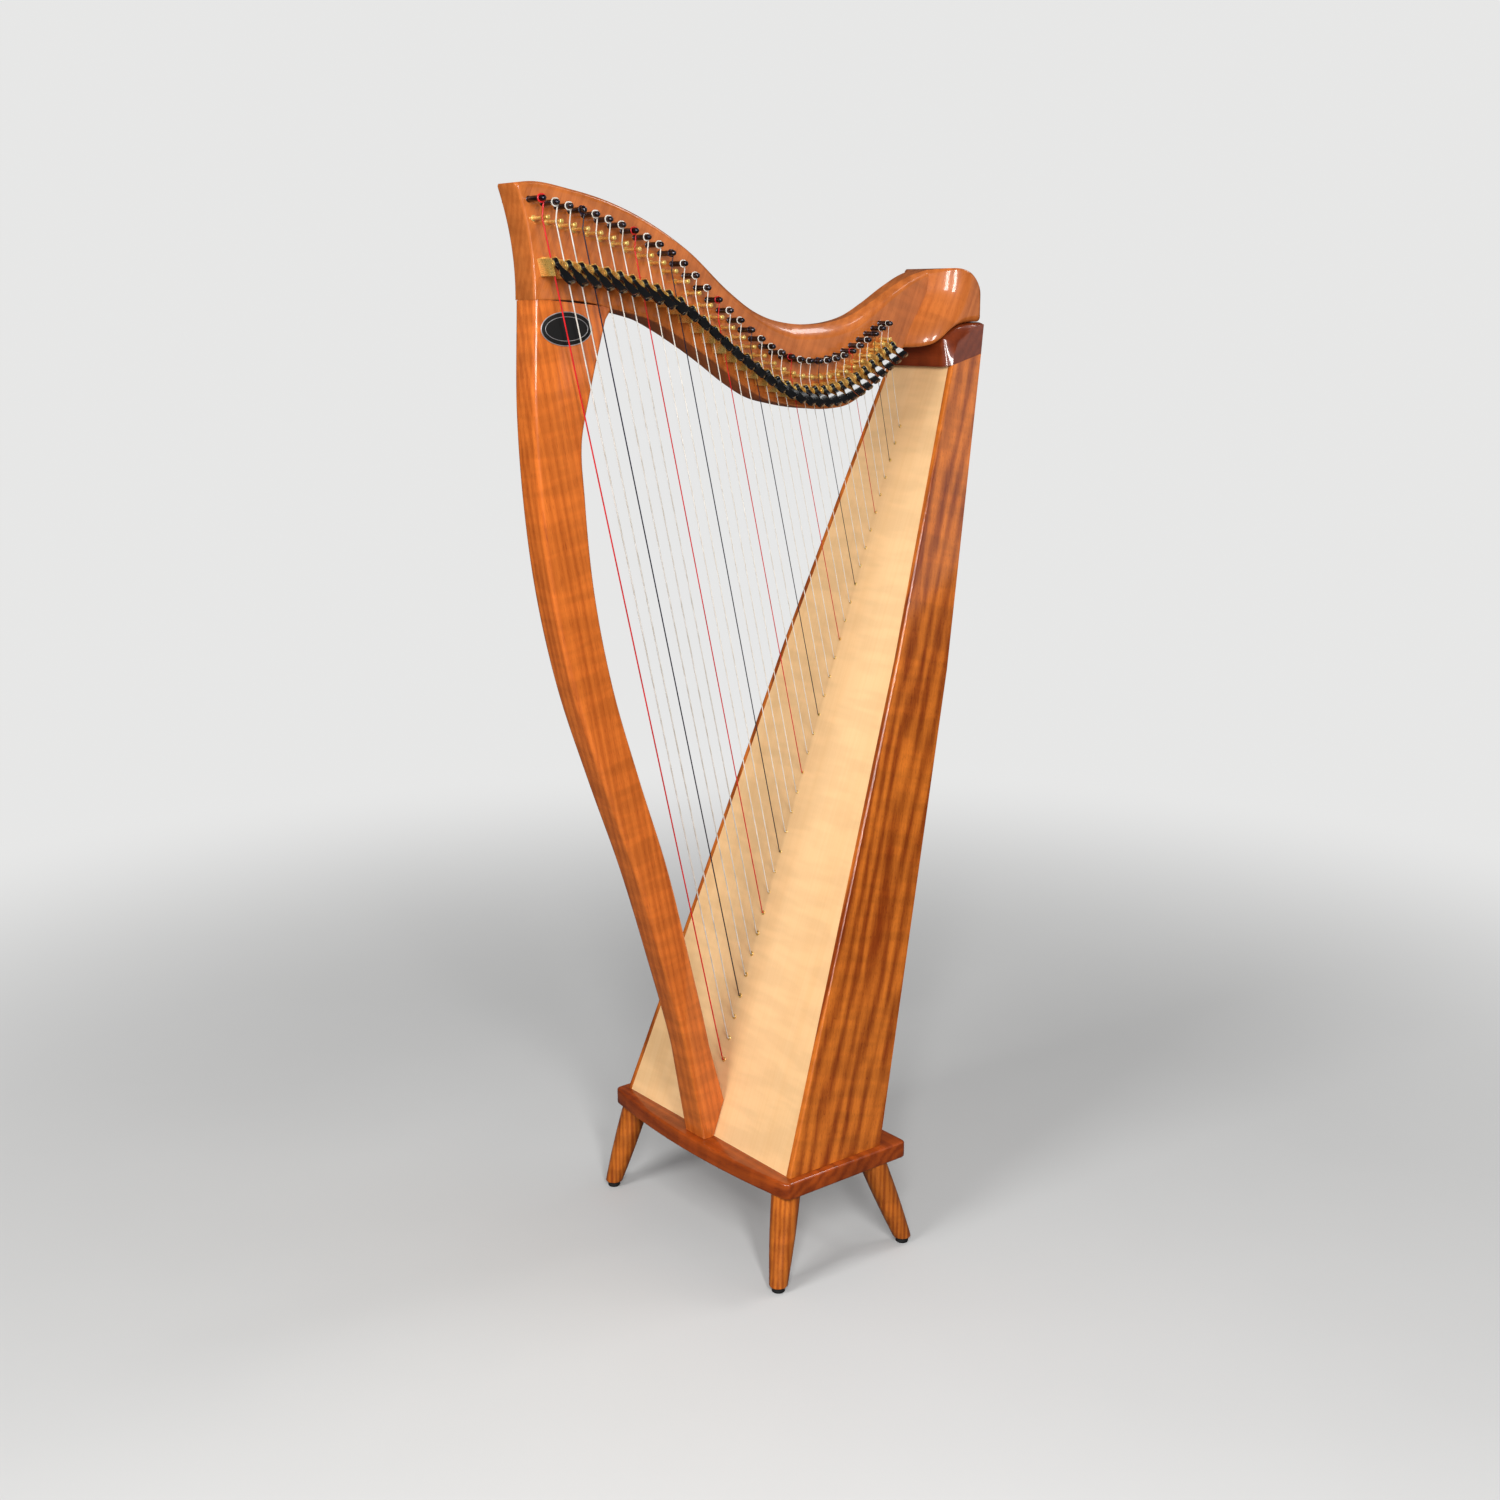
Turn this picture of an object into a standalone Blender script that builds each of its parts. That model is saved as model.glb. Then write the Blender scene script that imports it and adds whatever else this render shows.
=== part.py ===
"""A floor-standing lever harp: curved column and neck, tapered soundbox, four-legged base,
thirty-four strings with tuning pins, bridge pins and flip-up sharping levers.

Metres. +Z is up, +X runs from the column to the player, and the strings, pins and
levers stand on the -Y side of the neck, which is the player's left.
"""
import math

import bmesh
import bpy
import numpy as np
from mathutils import Vector

# Fit between pieces that touch
GAP = 0.0003
# share of a quarter circle's radius that its middle stands in from each side
ROUND_MIDDLE = 1 - math.sqrt(0.5)

# Stand
LEG_HEIGHT = 0.127
LEG_TOP_RADIUS = 0.0195
LEG_BOTTOM_RADIUS = 0.0130
LEG_FRONT_X = 0.005
LEG_BACK_X = 0.153
LEG_FRONT_Y = 0.172
LEG_BACK_Y = 0.176
LEG_FRONT_SPLAY_X = 0.031
LEG_BACK_SPLAY_X = 0.044
LEG_SPLAY_Y = 0.021
LEG_EASE = 0.0015
LEG_SWELL = 0.0006
LEG_SIDES = 14
FOOT_EASE = 0.0012
FOOT_RADIUS = 0.0088
FOOT_HEIGHT = 0.0075
STUD_RADIUS = 0.004
STUD_IN_LEG = 0.022
STUD_IN_PLATE = 0.015
STUD_SIDES = 8
PLATE_THICKNESS = 0.0235
PLATE_HALF_WIDTH = 0.198
PLATE_FRONT = 0.0140
PLATE_BACK = 0.197
PLATE_BOW = 0.015
PLATE_BOW_POINTS = 11
PLATE_CORNER = 0.007
PLATE_EASE = 0.003

# Soundbox, measured along the soundboard (s) and square to it, into the box (n)
BOARD_ANGLE = math.radians(69.7)
BOARD_LENGTH = 1.102
BOARD_THICKNESS = 0.004
BOARD_RECESS = 0.0006
BELLY_HEIGHT = 0.0045
BELLY_FOOT_LENGTH = 0.075
BELLY_RUN = 0.12
BELLY_STEPS = (0.0, 0.4, 1.0)
BELLY_SHOULDER = 0.45
BELLY_SHOULDER_RISE = 0.42
BEND_ALONG = 0.694
BEND_SLOPE = 0.125
HALF_WIDTH_FOOT = 0.186
HALF_WIDTH_BEND = 0.119
HALF_WIDTH_TOP = 0.065
BOX_DEPTH_FOOT = 0.159
BOX_DEPTH_BEND = 0.093
BOX_DEPTH_TOP = 0.0457
BOX_TOP_RISE = 0.0324
SIDE_THICKNESS = 0.008
SIDE_EASE = 0.0025
BACK_THICKNESS = 0.005
HOLE_HALF_LENGTH = 0.066
HOLE_MARGIN = 0.024
HOLE_HALF_WIDTH = 0.062
HOLE_SIDES = 20
CUT_REACH = 0.030
HOLE_STATIONS = (0.175, 0.365, 0.555, 0.850)
RIB_HALF_WIDTH = 0.012
RIB_THICKNESS = 0.007
RIB_START = 0.080
RIB_END_MARGIN = 0.060
BRACE_STATIONS = (0.22, 0.48, 0.74)
BRACE_WIDTH = 0.012
BRACE_DEPTH = 0.014
BRACE_NOTCH_SLOPE = 0.0005

# Column
FRAME_THICKNESS = 0.044
COLUMN_FOOT_FRONT = 0.017
COLUMN_FOOT_SEAT = 0.052
COLUMN_EASE = 0.007
COLUMN_BACK_EASE = 0.004
COLUMN_FOOT_EASE = 0.0032
COLUMN_FOOT_BACK_EASE = 0.0005
COLUMN_CURVE = (0.12, 0.84)
COLUMN_CURVE_RINGS = 16
COLUMN_FLARE_RINGS = (0.855, 0.88, 0.92, 0.955, 0.98)
# share of the height, and how far the front bows forward of the straight line there
COLUMN_BOW = ((0.0, 0.0), (0.12, -0.002), (0.24, 0.008), (0.36, 0.0215), (0.47, 0.0405),
              (0.58, 0.0562), (0.69, 0.0583), (0.79, 0.0486), (0.88, 0.0325), (1.0, 0.0))
# share of the height, and the front-to-back depth there
COLUMN_DEPTH = ((0.0, 0.036), (0.12, 0.038), (0.24, 0.0435), (0.36, 0.050), (0.47, 0.054),
                (0.58, 0.058), (0.69, 0.0612), (0.79, 0.0645), (0.855, 0.0665),
                (0.90, 0.0790), (0.95, 0.0905), (0.985, 0.0990), (1.0, 0.1080))

# Neck: how far the column's top front stands before and over the soundboard's top. Each table
# holds shares of that span: how far along the line between them, and the rise over it
NECK_SPAN = 0.6323
NECK_RISE = 0.0859
NECK_TOP = ((-0.032, 0.1997), (0.0, 0.2075), (0.085, 0.2084), (0.174, 0.1999), (0.264, 0.1773),
            (0.359, 0.1371), (0.457, 0.0777), (0.514, 0.0514), (0.560, 0.0405), (0.612, 0.0376),
            (0.672, 0.0424), (0.729, 0.0542), (0.785, 0.0751), (0.84, 0.1088), (0.897, 0.1482),
            (0.954, 0.1819), (0.99, 0.1964))
NECK_JOINT = ((0.0, 0.0), (0.055, 0.0074), (0.100, 0.0111), (0.144, 0.0098), (0.171, 0.0066))
NECK_BOTTOM = ((0.171, 0.0066), (0.225, 0.0024), (0.260, -0.0019), (0.304, -0.0158),
               (0.353, -0.0356), (0.411, -0.0623), (0.481, -0.0987), (0.535, -0.1197),
               (0.600, -0.1273), (0.645, -0.1289), (0.683, -0.1275), (0.723, -0.1218),
               (0.762, -0.1115), (0.795, -0.0933), (0.83, -0.0648), (0.862, -0.0340),
               (0.893, 0.0), (0.924, 0.0261))
HEAD_BOW = 0.0065
HEAD_BOW_RUN = 0.05
NECK_EASE = 0.0045
NECK_EASE_MOST = 0.1
JOINT_EASE = 0.3
NECK_ROWS = (0.28, 0.55)
JOINT_RINGS = 5
CURVE_RINGS = 22
TOP_LEAN_START = 0.6
TOP_LEAN_EASE = 1.5
BEVEL_MOST = 0.3
BEVEL_MIDDLE_DROP = 0.35
BEVEL_MIDDLE_WIDTH = 0.38
# how far along, and the width and drop of the hollow bevel on the neck's top edges
BEVEL_WIDTH = ((-0.04, 0.0055), (0.35, 0.0055), (0.50, 0.0111), (0.62, 0.0174), (0.9, 0.0174),
               (1.0, 0.0095))
BEVEL_DROP = ((-0.04, 0.0055), (0.35, 0.0063), (0.50, 0.0174), (0.62, 0.0316), (0.8, 0.0237),
              (0.9, 0.0142), (1.0, 0.0095))

# Shoulder, where the neck swells to meet the soundbox
SHOULDER_HALF_WIDTH = 0.061
SHOULDER_SWELL_RUN = 0.052
SHOULDER_TOP_LEAN = 0.042
SHOULDER_TOP = 0.1275
SHOULDER_BACK = 0.058
SHOULDER_BACK_RADIUS = 0.040
SHOULDER_EASE = 0.006
SHOULDER_RINGS = (0.16, 0.38, 0.66)
CREST_RINGS = (0.2, 0.5, 1.0)
# shares of the shoulder's height: height over the soundboard's top, and how far before it
# the neck's flat sides end there
SHOULDER_LINE = ((0.205, 0.375), (0.285, 0.354), (0.466, 0.260), (0.631, 0.147),
                 (0.742, 0.088), (0.966, 0.055))
LINE_REACH = 0.030
CAP_FRONT_HEIGHT = 0.021
CAP_SIDE_FRONT = 0.0012
CAP_HEIGHT = 0.055
CAP_SIDE_DROP = 0.0022
CAP_ROUND = 2.2
CAP_COVE = 0.009
CAP_COVE_WIDTH = 0.013
CAP_LIP = 0.28
CAP_RINGS = 7

# Badge, a plain oval plaque
BADGE_LENGTH = 0.071
BADGE_WIDTH = 0.040
BADGE_THICKNESS = 0.0016
BADGE_DOWN = 0.033
BADGE_IN = 0.0425
BADGE_EDGE = 0.0008
BADGE_EDGE_START = 0.7
BADGE_SIDES = 24

# Strings, from the bass at the column to the treble at the player
STRING_COUNT = 34
FIRST_FOOT = 0.103
LAST_FOOT_MARGIN = 0.08985
FOOT_PITCH_FALL = 0.217
FOOT_PITCH_EASE = 1.0
FIRST_STRING_IN = 0.0020
LAST_STRING_IN = 0.0944
STRING_PITCH_FALL = 0.344
STRING_PITCH_EASE = 2.25
STANDOFF_BASS = 0.025
STANDOFF_TREBLE = 0.0155
RADIUS_BASS = 0.00120
RADIUS_TREBLE = 0.00042
RADIUS_EASE = 0.7
WOUND_COUNT = 8
STRING_SIDES = 5
# share of the neck, and how far the bridge pins' row rises over the neck's line
BRIDGE_ROW = ((-0.003, 0.14234), (0.139, 0.12953), (0.282, 0.09189), (0.424, 0.00364),
              (0.566, -0.06263), (0.709, -0.05282), (0.851, 0.03448))

# Pins
PIN_RISE = 0.021
PIN_OFFSET = 0.0015
PIN_RADIUS = 0.00325
PIN_PAST_STRING = 0.0075
PIN_SIDES = 8
PIN_TIP = 0.0020
PIN_TIP_SHARE = 0.72
PIN_SEAT = 0.003
KEY_RADIUS = 0.0034
KEY_TAPER = 0.82
KEY_LENGTH = 0.015
KEY_SIDES = 4
WIND_TURNS = 1.25
WIND_POINTS = 8
WIND_SPACE = 0.0006
BRIDGE_RADIUS = 0.0020
BRIDGE_HEAD_RADIUS = 0.0026
BRIDGE_PAST_BASS = 0.0080
BRIDGE_PAST_TREBLE = 0.0032
BRIDGE_GROOVE = 0.0015
BRIDGE_SIDES = 6
EYELET_HEIGHT = 0.0009
EYELET_CROWN = 0.72
EYELET_SIDES = 6
EYELET_RADIUS_BASS = 0.0034
EYELET_RADIUS_TREBLE = 0.0023

# Sharping levers
LEVER_SHARE = 0.0412
LEVER_START = 0.0035
LEVER_REST_ANGLE = math.radians(35.0)
CAM_RADIUS = 0.0044
CAM_LOBE = 0.0054
LEVER_LENGTH = 0.035
LEVER_NECK_HALF = 0.0026
LEVER_PADDLE_HALF = 0.0047
LEVER_THICKNESS = 0.0036
PADDLE_START = 0.0105
PADDLE_FULL = 0.0185
HEAD_START = 0.52
HEAD_STEPS = 8
BODY_ABOVE = 0.0058
BODY_BELOW = 0.0142
CHEEK_THICKNESS = 0.0014
CHEEK_PAST_PIVOT = 0.0042
CHEEK_RUN = 0.0044
CHEEK_CROWN = (-0.3, 0.4)
CHEEK_FALL = 1.2
BODY_BASE = 0.0020
BODY_SEAT = 0.0010
CHEEK_TOE = 0.0040
FRET_CLEARANCE = 0.0006

# Colours
WOOD = (0.40, 0.135, 0.035, 1.0)
WOOD_DARK = (0.26, 0.075, 0.022, 1.0)
BIRCH = (0.72, 0.51, 0.27, 1.0)
BRASS = (0.80, 0.58, 0.22, 1.0)
STEEL_BLUE = (0.05, 0.055, 0.07, 1.0)
BLACK = (0.012, 0.012, 0.013, 1.0)
RUBBER = (0.02, 0.02, 0.02, 1.0)
RED = (0.75, 0.03, 0.04, 1.0)
NAVY = (0.02, 0.02, 0.06, 1.0)
CLEAR = (0.85, 0.82, 0.76, 1.0)
WOUND = (0.70, 0.66, 0.58, 1.0)
ZINC = (0.45, 0.45, 0.46, 1.0)


def clear_scene():
    """Remove every object that the file starts with."""
    for item in list(bpy.data.objects):
        bpy.data.objects.remove(item)


def material(name, colour, roughness, metallic=0.0):
    """A plain Principled finish."""
    finish = bpy.data.materials.new(name)
    finish.use_nodes = True
    shader = finish.node_tree.nodes["Principled BSDF"]
    shader.inputs["Base Color"].default_value = colour
    shader.inputs["Roughness"].default_value = roughness
    shader.inputs["Metallic"].default_value = metallic
    return finish


def add_mesh(name, vertices, faces, finish, parent, origin=(0.0, 0.0, 0.0), smooth=None):
    """One object whose origin is at the given point of the harp's own frame."""
    origin = np.array(origin, float)
    local = np.array(vertices, float) - origin
    mesh = bpy.data.meshes.new(name)
    mesh.from_pydata([tuple(v) for v in local], [], [tuple(f) for f in faces])
    work = bmesh.new()
    work.from_mesh(mesh)
    bmesh.ops.recalc_face_normals(work, faces=work.faces)
    work.to_mesh(mesh)
    work.free()
    mesh.update()
    mesh.materials.append(finish)
    if smooth is not None:
        mesh.shade_smooth()
        mesh.set_sharp_from_angle(angle=math.radians(smooth))
    item = bpy.data.objects.new(name, mesh)
    item.location = origin
    item.parent = parent
    bpy.context.collection.objects.link(item)
    return item


def through(knots, places):
    """A smooth curve through (place, value) knots, by cubic Hermite spans."""
    x = np.array([k[0] for k in knots])
    y = np.array([k[1] for k in knots])
    slope = np.gradient(y, x)
    t = np.clip(np.atleast_1d(np.asarray(places, float)), x[0], x[-1])
    i = np.clip(np.searchsorted(x, t, side="right") - 1, 0, len(x) - 2)
    h = x[i + 1] - x[i]
    u = (t - x[i]) / h
    return ((2 * u**3 - 3 * u**2 + 1) * y[i] + (u**3 - 2 * u**2 + u) * h * slope[i]
            + (3 * u**2 - 2 * u**3) * y[i + 1] + (u**3 - u**2) * h * slope[i + 1])


def bands(knots, places):
    """Straight runs between (place, value) knots."""
    return np.interp(places, [k[0] for k in knots], [k[1] for k in knots])


class Shape:
    """Vertices and faces that are gathered before they become one mesh."""

    def __init__(self):
        self.vertices = []
        self.faces = []

    def loft(self, rings):
        """Join closed rings of equal length, and close both ends."""
        base = len(self.vertices)
        count = len(rings[0])
        for ring in rings:
            self.vertices.extend(tuple(float(c) for c in p) for p in ring)
        for r in range(len(rings) - 1):
            a = base + r * count
            b = a + count
            for k in range(count):
                j = (k + 1) % count
                self.faces.append((a + k, a + j, b + j, b + k))
        self.faces.append(tuple(base + k for k in reversed(range(count))))
        last = base + (len(rings) - 1) * count
        self.faces.append(tuple(last + k for k in range(count)))

    def tube(self, points, radius, sides):
        """Carry a round section along a route, turning it as little as it can."""
        points = np.array(points, float)
        runs = np.diff(points, axis=0)
        runs /= np.linalg.norm(runs, axis=1)[:, None]
        tangents = np.vstack([runs[:1], runs[:-1] + runs[1:], runs[-1:]])
        tangents /= np.linalg.norm(tangents, axis=1)[:, None]
        angles = 2 * math.pi * np.arange(sides) / sides
        side = np.cross(tangents[0], (0.0, 0.0, 1.0))
        rings = []
        for point, tangent in zip(points, tangents):
            side = side - tangent * float(side @ tangent)
            side /= np.linalg.norm(side)
            up = np.cross(tangent, side)
            rings.append(point + radius * (np.outer(np.cos(angles), side)
                                           + np.outer(np.sin(angles), up)))
        self.loft(rings)

    def add(self, name, finish, parent, origin=(0.0, 0.0, 0.0), smooth=None):
        """Make the shape an object."""
        return add_mesh(name, self.vertices, self.faces, finish, parent, origin, smooth)

    def add_tool(self, name, finish, parent):
        """Make the shape a hidden tool that a Boolean joins or cuts with."""
        tool = add_mesh(name, self.vertices, self.faces, finish, parent)
        tool.hide_render = True
        tool.display_type = "WIRE"
        return tool


def combine(item, operation, tool):
    """Join a tool to a piece, or cut it away, keeping each face's own finish."""
    step = item.modifiers.new(tool.name, "BOOLEAN")
    step.operation = operation
    step.object = tool
    step.material_mode = "TRANSFER"


def turned(shape, centre, axis, side, profile, sides):
    """Turn (distance along the axis, radius) points round an axis, as one closed solid."""
    axis = np.array(axis, float)
    side = np.array(side, float)
    third = np.cross(axis, side)
    angles = 2 * math.pi * (np.arange(sides) + 0.5) / sides
    circle = np.outer(np.cos(angles), side) + np.outer(np.sin(angles), third)
    rings = [np.array(centre) + axis * along + circle * radius for along, radius in profile]
    shape.loft(rings)


# Frame of the harp: the plate's top, the soundboard's line, the column's and neck's line
PLATE_TOP = LEG_HEIGHT + PLATE_THICKNESS
ALONG = np.array([math.cos(BOARD_ANGLE), math.sin(BOARD_ANGLE)])
INTO = np.array([math.sin(BOARD_ANGLE), -math.cos(BOARD_ANGLE)])
BOARD_TOP = np.array([0.0, PLATE_TOP]) + ALONG * BOARD_LENGTH
JOINT_FRONT = BOARD_TOP + np.array([-NECK_SPAN, NECK_RISE])
HALF_THICK = FRAME_THICKNESS / 2


def in_box(s, n, y=0.0):
    """A point given along the soundboard, into the box and across it."""
    x = s * ALONG[0] + n * INTO[0]
    z = PLATE_TOP + s * ALONG[1] + n * INTO[1]
    return np.array([x, y, z])


def half_width(s):
    """Half the soundbox's outer width at a distance along the soundboard."""
    knots = ((0.0, HALF_WIDTH_FOOT), (BEND_ALONG, HALF_WIDTH_BEND),
             (BOARD_LENGTH, HALF_WIDTH_TOP))
    return float(bands(knots, s))


def box_stations():
    """Foot, bend and top of the box: along and depth at its back edge."""
    foot_n = BOX_DEPTH_FOOT * math.sin(BOARD_ANGLE)
    foot_s = BOX_DEPTH_FOOT * math.cos(BOARD_ANGLE)
    bend_s = BEND_ALONG + BEND_SLOPE * (BOX_TOP_RISE + foot_s)
    return ((foot_s, foot_n), (bend_s, BOX_DEPTH_BEND),
            (BOARD_LENGTH + BOX_TOP_RISE, BOX_DEPTH_TOP))


def back_depth(s):
    """Depth of the box's back edge at a distance along the soundboard."""
    return float(bands(box_stations(), s))


def foot_along(n):
    """Where a line at depth n meets the plate's top."""
    return n / math.tan(BOARD_ANGLE) + GAP / math.sin(BOARD_ANGLE)


def top_along(n):
    """Where a line at depth n meets the sloping top of the box."""
    return BOARD_LENGTH + BOX_TOP_RISE * n / BOX_DEPTH_TOP


def board_stations():
    """Where the soundboard has its rings: close together where its middle rises and falls."""
    rise = [BELLY_FOOT_LENGTH + f * BELLY_RUN for f in BELLY_STEPS]
    fall = [BOARD_LENGTH - f * BELLY_RUN for f in BELLY_STEPS[::-1]]
    return [0.0] + rise + [BEND_ALONG] + fall


def belly(s):
    """Rise of the soundboard's middle, pulled up by the strings."""
    stations = np.array(board_stations())
    up = np.clip((stations - BELLY_FOOT_LENGTH) / BELLY_RUN, 0.0, 1.0)
    down = np.clip((BOARD_LENGTH - stations) / BELLY_RUN, 0.0, 1.0)
    rises = BELLY_HEIGHT * np.sin(up * math.pi / 2) * np.sin(down * math.pi / 2)
    return float(np.interp(s, stations, rises))


def on_neck(share, rise):
    """A point over the line from the column's top to the soundboard's top."""
    chord = BOARD_TOP - JOINT_FRONT
    return JOINT_FRONT + chord * share + np.array([0.0, rise * NECK_SPAN])


def share_of(x):
    """How far along the neck's line a place is."""
    return (x - JOINT_FRONT[0]) / NECK_SPAN


def side_panel(name, sign, finish, parent):
    """A wall of the box, with its eased front edge, in two flat fields that meet at the bend."""
    foot, bend, top = box_stations()
    fronts = ((foot_along(0.0), 0.0), (BEND_ALONG, 0.0), (BOARD_LENGTH - GAP, 0.0))
    backs = ((foot_along(foot[1]), foot[1]), bend, (top_along(top[1]) - GAP, top[1]))
    rings = []
    for front, back in zip(fronts, backs):
        outer = half_width(front[0])
        inner = outer - SIDE_THICKNESS
        ease_s = (back[0] - front[0]) * SIDE_EASE / max(back[1], SIDE_EASE)
        rings.append([
            in_box(front[0] + ease_s, front[1] + SIDE_EASE, sign * outer),
            in_box(front[0] + ROUND_MIDDLE * ease_s, front[1] + ROUND_MIDDLE * SIDE_EASE,
                   sign * (outer - ROUND_MIDDLE * SIDE_EASE)),
            in_box(front[0], front[1], sign * (outer - SIDE_EASE)),
            in_box(front[0], front[1], sign * inner),
            in_box(back[0], back[1], sign * inner),
            in_box(back[0], back[1], sign * outer),
        ])
    shape = Shape()
    shape.loft(rings)
    return shape.add(name, finish, parent)


def soundboard(runs, finishes, parent):
    """The board between the side walls, raised along the string line, with its eyelets."""
    stations = board_stations()
    rings = []
    for k, s in enumerate(stations):
        edge = half_width(s) - SIDE_THICKNESS - GAP
        middle = half_width(s) * BELLY_SHOULDER
        across = np.array([-edge, -middle, 0.0, middle, edge])
        lift = belly(s) * np.array([0.0, BELLY_SHOULDER_RISE, 1.0, BELLY_SHOULDER_RISE, 0.0])
        ring = []
        for side, face in ((1, 0.0), (-1, BOARD_THICKNESS)):
            for y, up in list(zip(across, lift))[::side]:
                n = BOARD_RECESS + face - up
                at = s
                if k == 0:
                    at = foot_along(n)
                if k == len(stations) - 1:
                    at = top_along(n) - GAP
                ring.append(in_box(at, n, y))
        rings.append(ring)
    shape = Shape()
    shape.loft(rings)
    board = shape.add("soundboard", finishes["birch"], parent, smooth=25)
    eyelets = Shape()
    bores = Shape()
    for run in runs:
        profile = ((-0.5 * BOARD_THICKNESS, run.eyelet_radius),
                   (EYELET_HEIGHT, EYELET_CROWN * run.eyelet_radius))
        turned(eyelets, run.seat, run.out, (0.0, 1.0, 0.0), profile, EYELET_SIDES)
        reach = BOARD_THICKNESS + EYELET_HEIGHT
        turned(bores, run.seat, run.out, (0.0, 1.0, 0.0),
               ((-2 * reach, run.radius + GAP), (2 * reach, run.radius + GAP)), EYELET_SIDES)
    combine(board, "UNION", eyelets.add_tool("eyelets", finishes["brass"], parent))
    combine(board, "DIFFERENCE", bores.add_tool("string_bores", finishes["birch"], parent))
    return board


def back_panel(finish, parent):
    """The back between the side walls, bent once, with four oval holes."""
    foot, bend, top = box_stations()
    rings = []
    for k, (s, n) in enumerate((foot, bend, top)):
        width = half_width(BEND_ALONG) if k == 1 else half_width(s)
        if k == 0:
            width = half_width(0.0)
        y = width - SIDE_THICKNESS - GAP
        ring = []
        for depth, side in ((n, -1), (n, 1), (n - BACK_THICKNESS, 1), (n - BACK_THICKNESS, -1)):
            at = s
            if k == 0:
                at = foot_along(depth)
            if k == 2:
                at = top_along(depth) - GAP
            ring.append(in_box(at, depth, side * y))
        rings.append(ring)
    shape = Shape()
    shape.loft(rings)
    panel = shape.add("soundbox_back", finish, parent)
    for number, station in enumerate(HOLE_STATIONS):
        cut_oval(panel, number, station, parent)
    return panel


def hole_half_width(station):
    """Half the width of a hole, which keeps a margin of the back beside it."""
    room = half_width(station + HOLE_HALF_LENGTH) - SIDE_THICKNESS - HOLE_MARGIN
    return min(room, HOLE_HALF_WIDTH)


def cut_oval(panel, number, station, parent):
    """One oval hole through the back, to reach the strings' knots."""
    depth = back_depth(station)
    reach = HOLE_HALF_LENGTH
    half = hole_half_width(station)
    angles = 2 * math.pi * np.arange(HOLE_SIDES) / HOLE_SIDES
    rings = []
    for n in (depth - CUT_REACH, depth + CUT_REACH):
        rings.append([in_box(station + reach * math.cos(a), n, half * math.sin(a))
                      for a in angles])
    shape = Shape()
    shape.loft(rings)
    cutter = shape.add_tool(f"hole_cutter_{number}", panel.data.materials[0], parent)
    combine(panel, "DIFFERENCE", cutter)


def string_rib(runs, finishes, parent):
    """The strip under the board that takes the strings' pull, with the strings made fast in it."""
    end = BOARD_LENGTH - RIB_END_MARGIN
    rings = []
    for s in [RIB_START] + [s for s in board_stations() if RIB_START < s < end] + [end]:
        slope = (1 - BELLY_SHOULDER_RISE) / (half_width(s) * BELLY_SHOULDER)
        seat = BOARD_RECESS + BOARD_THICKNESS + GAP
        edge = seat - belly(s) * (1 - slope * RIB_HALF_WIDTH)
        middle = seat - belly(s)
        low = seat + RIB_THICKNESS
        rings.append([in_box(s, edge, -RIB_HALF_WIDTH), in_box(s, middle, 0.0),
                      in_box(s, edge, RIB_HALF_WIDTH), in_box(s, low, RIB_HALF_WIDTH),
                      in_box(s, low, -RIB_HALF_WIDTH)])
    shape = Shape()
    shape.loft(rings)
    rib = shape.add("strings", finishes["dark"], parent)
    for kind in ("red", "navy", "wound", "clear"):
        tubes = Shape()
        for run in runs:
            if run.kind == kind:
                tubes.tube(run.route(), run.radius, STRING_SIDES)
        combine(rib, "UNION", tubes.add_tool(f"strings_{kind}", finishes[kind], parent))
    tight = min(least_gap(r.winding(), r.radius, WIND_POINTS - 2) for r in runs)
    print(f"least gap between turns: {tight * 1000:.2f} mm")
    return rib


def board_braces(finish, parent):
    """Cross braces glued under the board from wall to wall, notched over the rib."""
    for number, s in enumerate(BRACE_STATIONS, 1):
        far = half_width(s + BRACE_WIDTH) - SIDE_THICKNESS - 2 * GAP
        middle = half_width(s) * BELLY_SHOULDER
        near = RIB_HALF_WIDTH + GAP
        seat = BOARD_RECESS + BOARD_THICKNESS + GAP
        under_rib = seat + RIB_THICKNESS + GAP
        rise = ((0.0, belly(s)), (middle, belly(s) * BELLY_SHOULDER_RISE), (far, 0.0))
        tops = [(y, seat - float(bands(rise, y))) for y in (far, middle, near + BRACE_NOTCH_SLOPE)]
        tops.append((near, under_rib))
        rings = []
        for y, top in [(-y, top) for y, top in tops] + tops[::-1]:
            low = seat + BRACE_DEPTH
            rings.append([in_box(s, top, y), in_box(s + BRACE_WIDTH, top, y),
                          in_box(s + BRACE_WIDTH, low, y), in_box(s, low, y)])
        shape = Shape()
        shape.loft(rings)
        shape.add(f"soundboard_brace_{number}", finish, parent)


def plate_outline(inset):
    """The base plate's edge: bowed front, straight sides and back, rounded corners."""
    wide = PLATE_HALF_WIDTH - inset
    back = PLATE_BACK - inset
    front = -PLATE_FRONT + inset
    corner = PLATE_CORNER
    points = []
    for y in np.linspace(-wide + corner, wide - corner, PLATE_BOW_POINTS):
        bow = PLATE_BOW * (1 - (y / wide) ** 2)
        points.append((front - bow, y))
    points.append((front + ROUND_MIDDLE * corner, wide - ROUND_MIDDLE * corner))
    points.append((front + corner, wide))
    points.append((back - corner, wide))
    points.append((back - ROUND_MIDDLE * corner, wide - ROUND_MIDDLE * corner))
    points.append((back, wide - corner))
    mirrored = [(x, -y) for x, y in reversed(points[PLATE_BOW_POINTS:])]
    return points + mirrored


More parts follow.
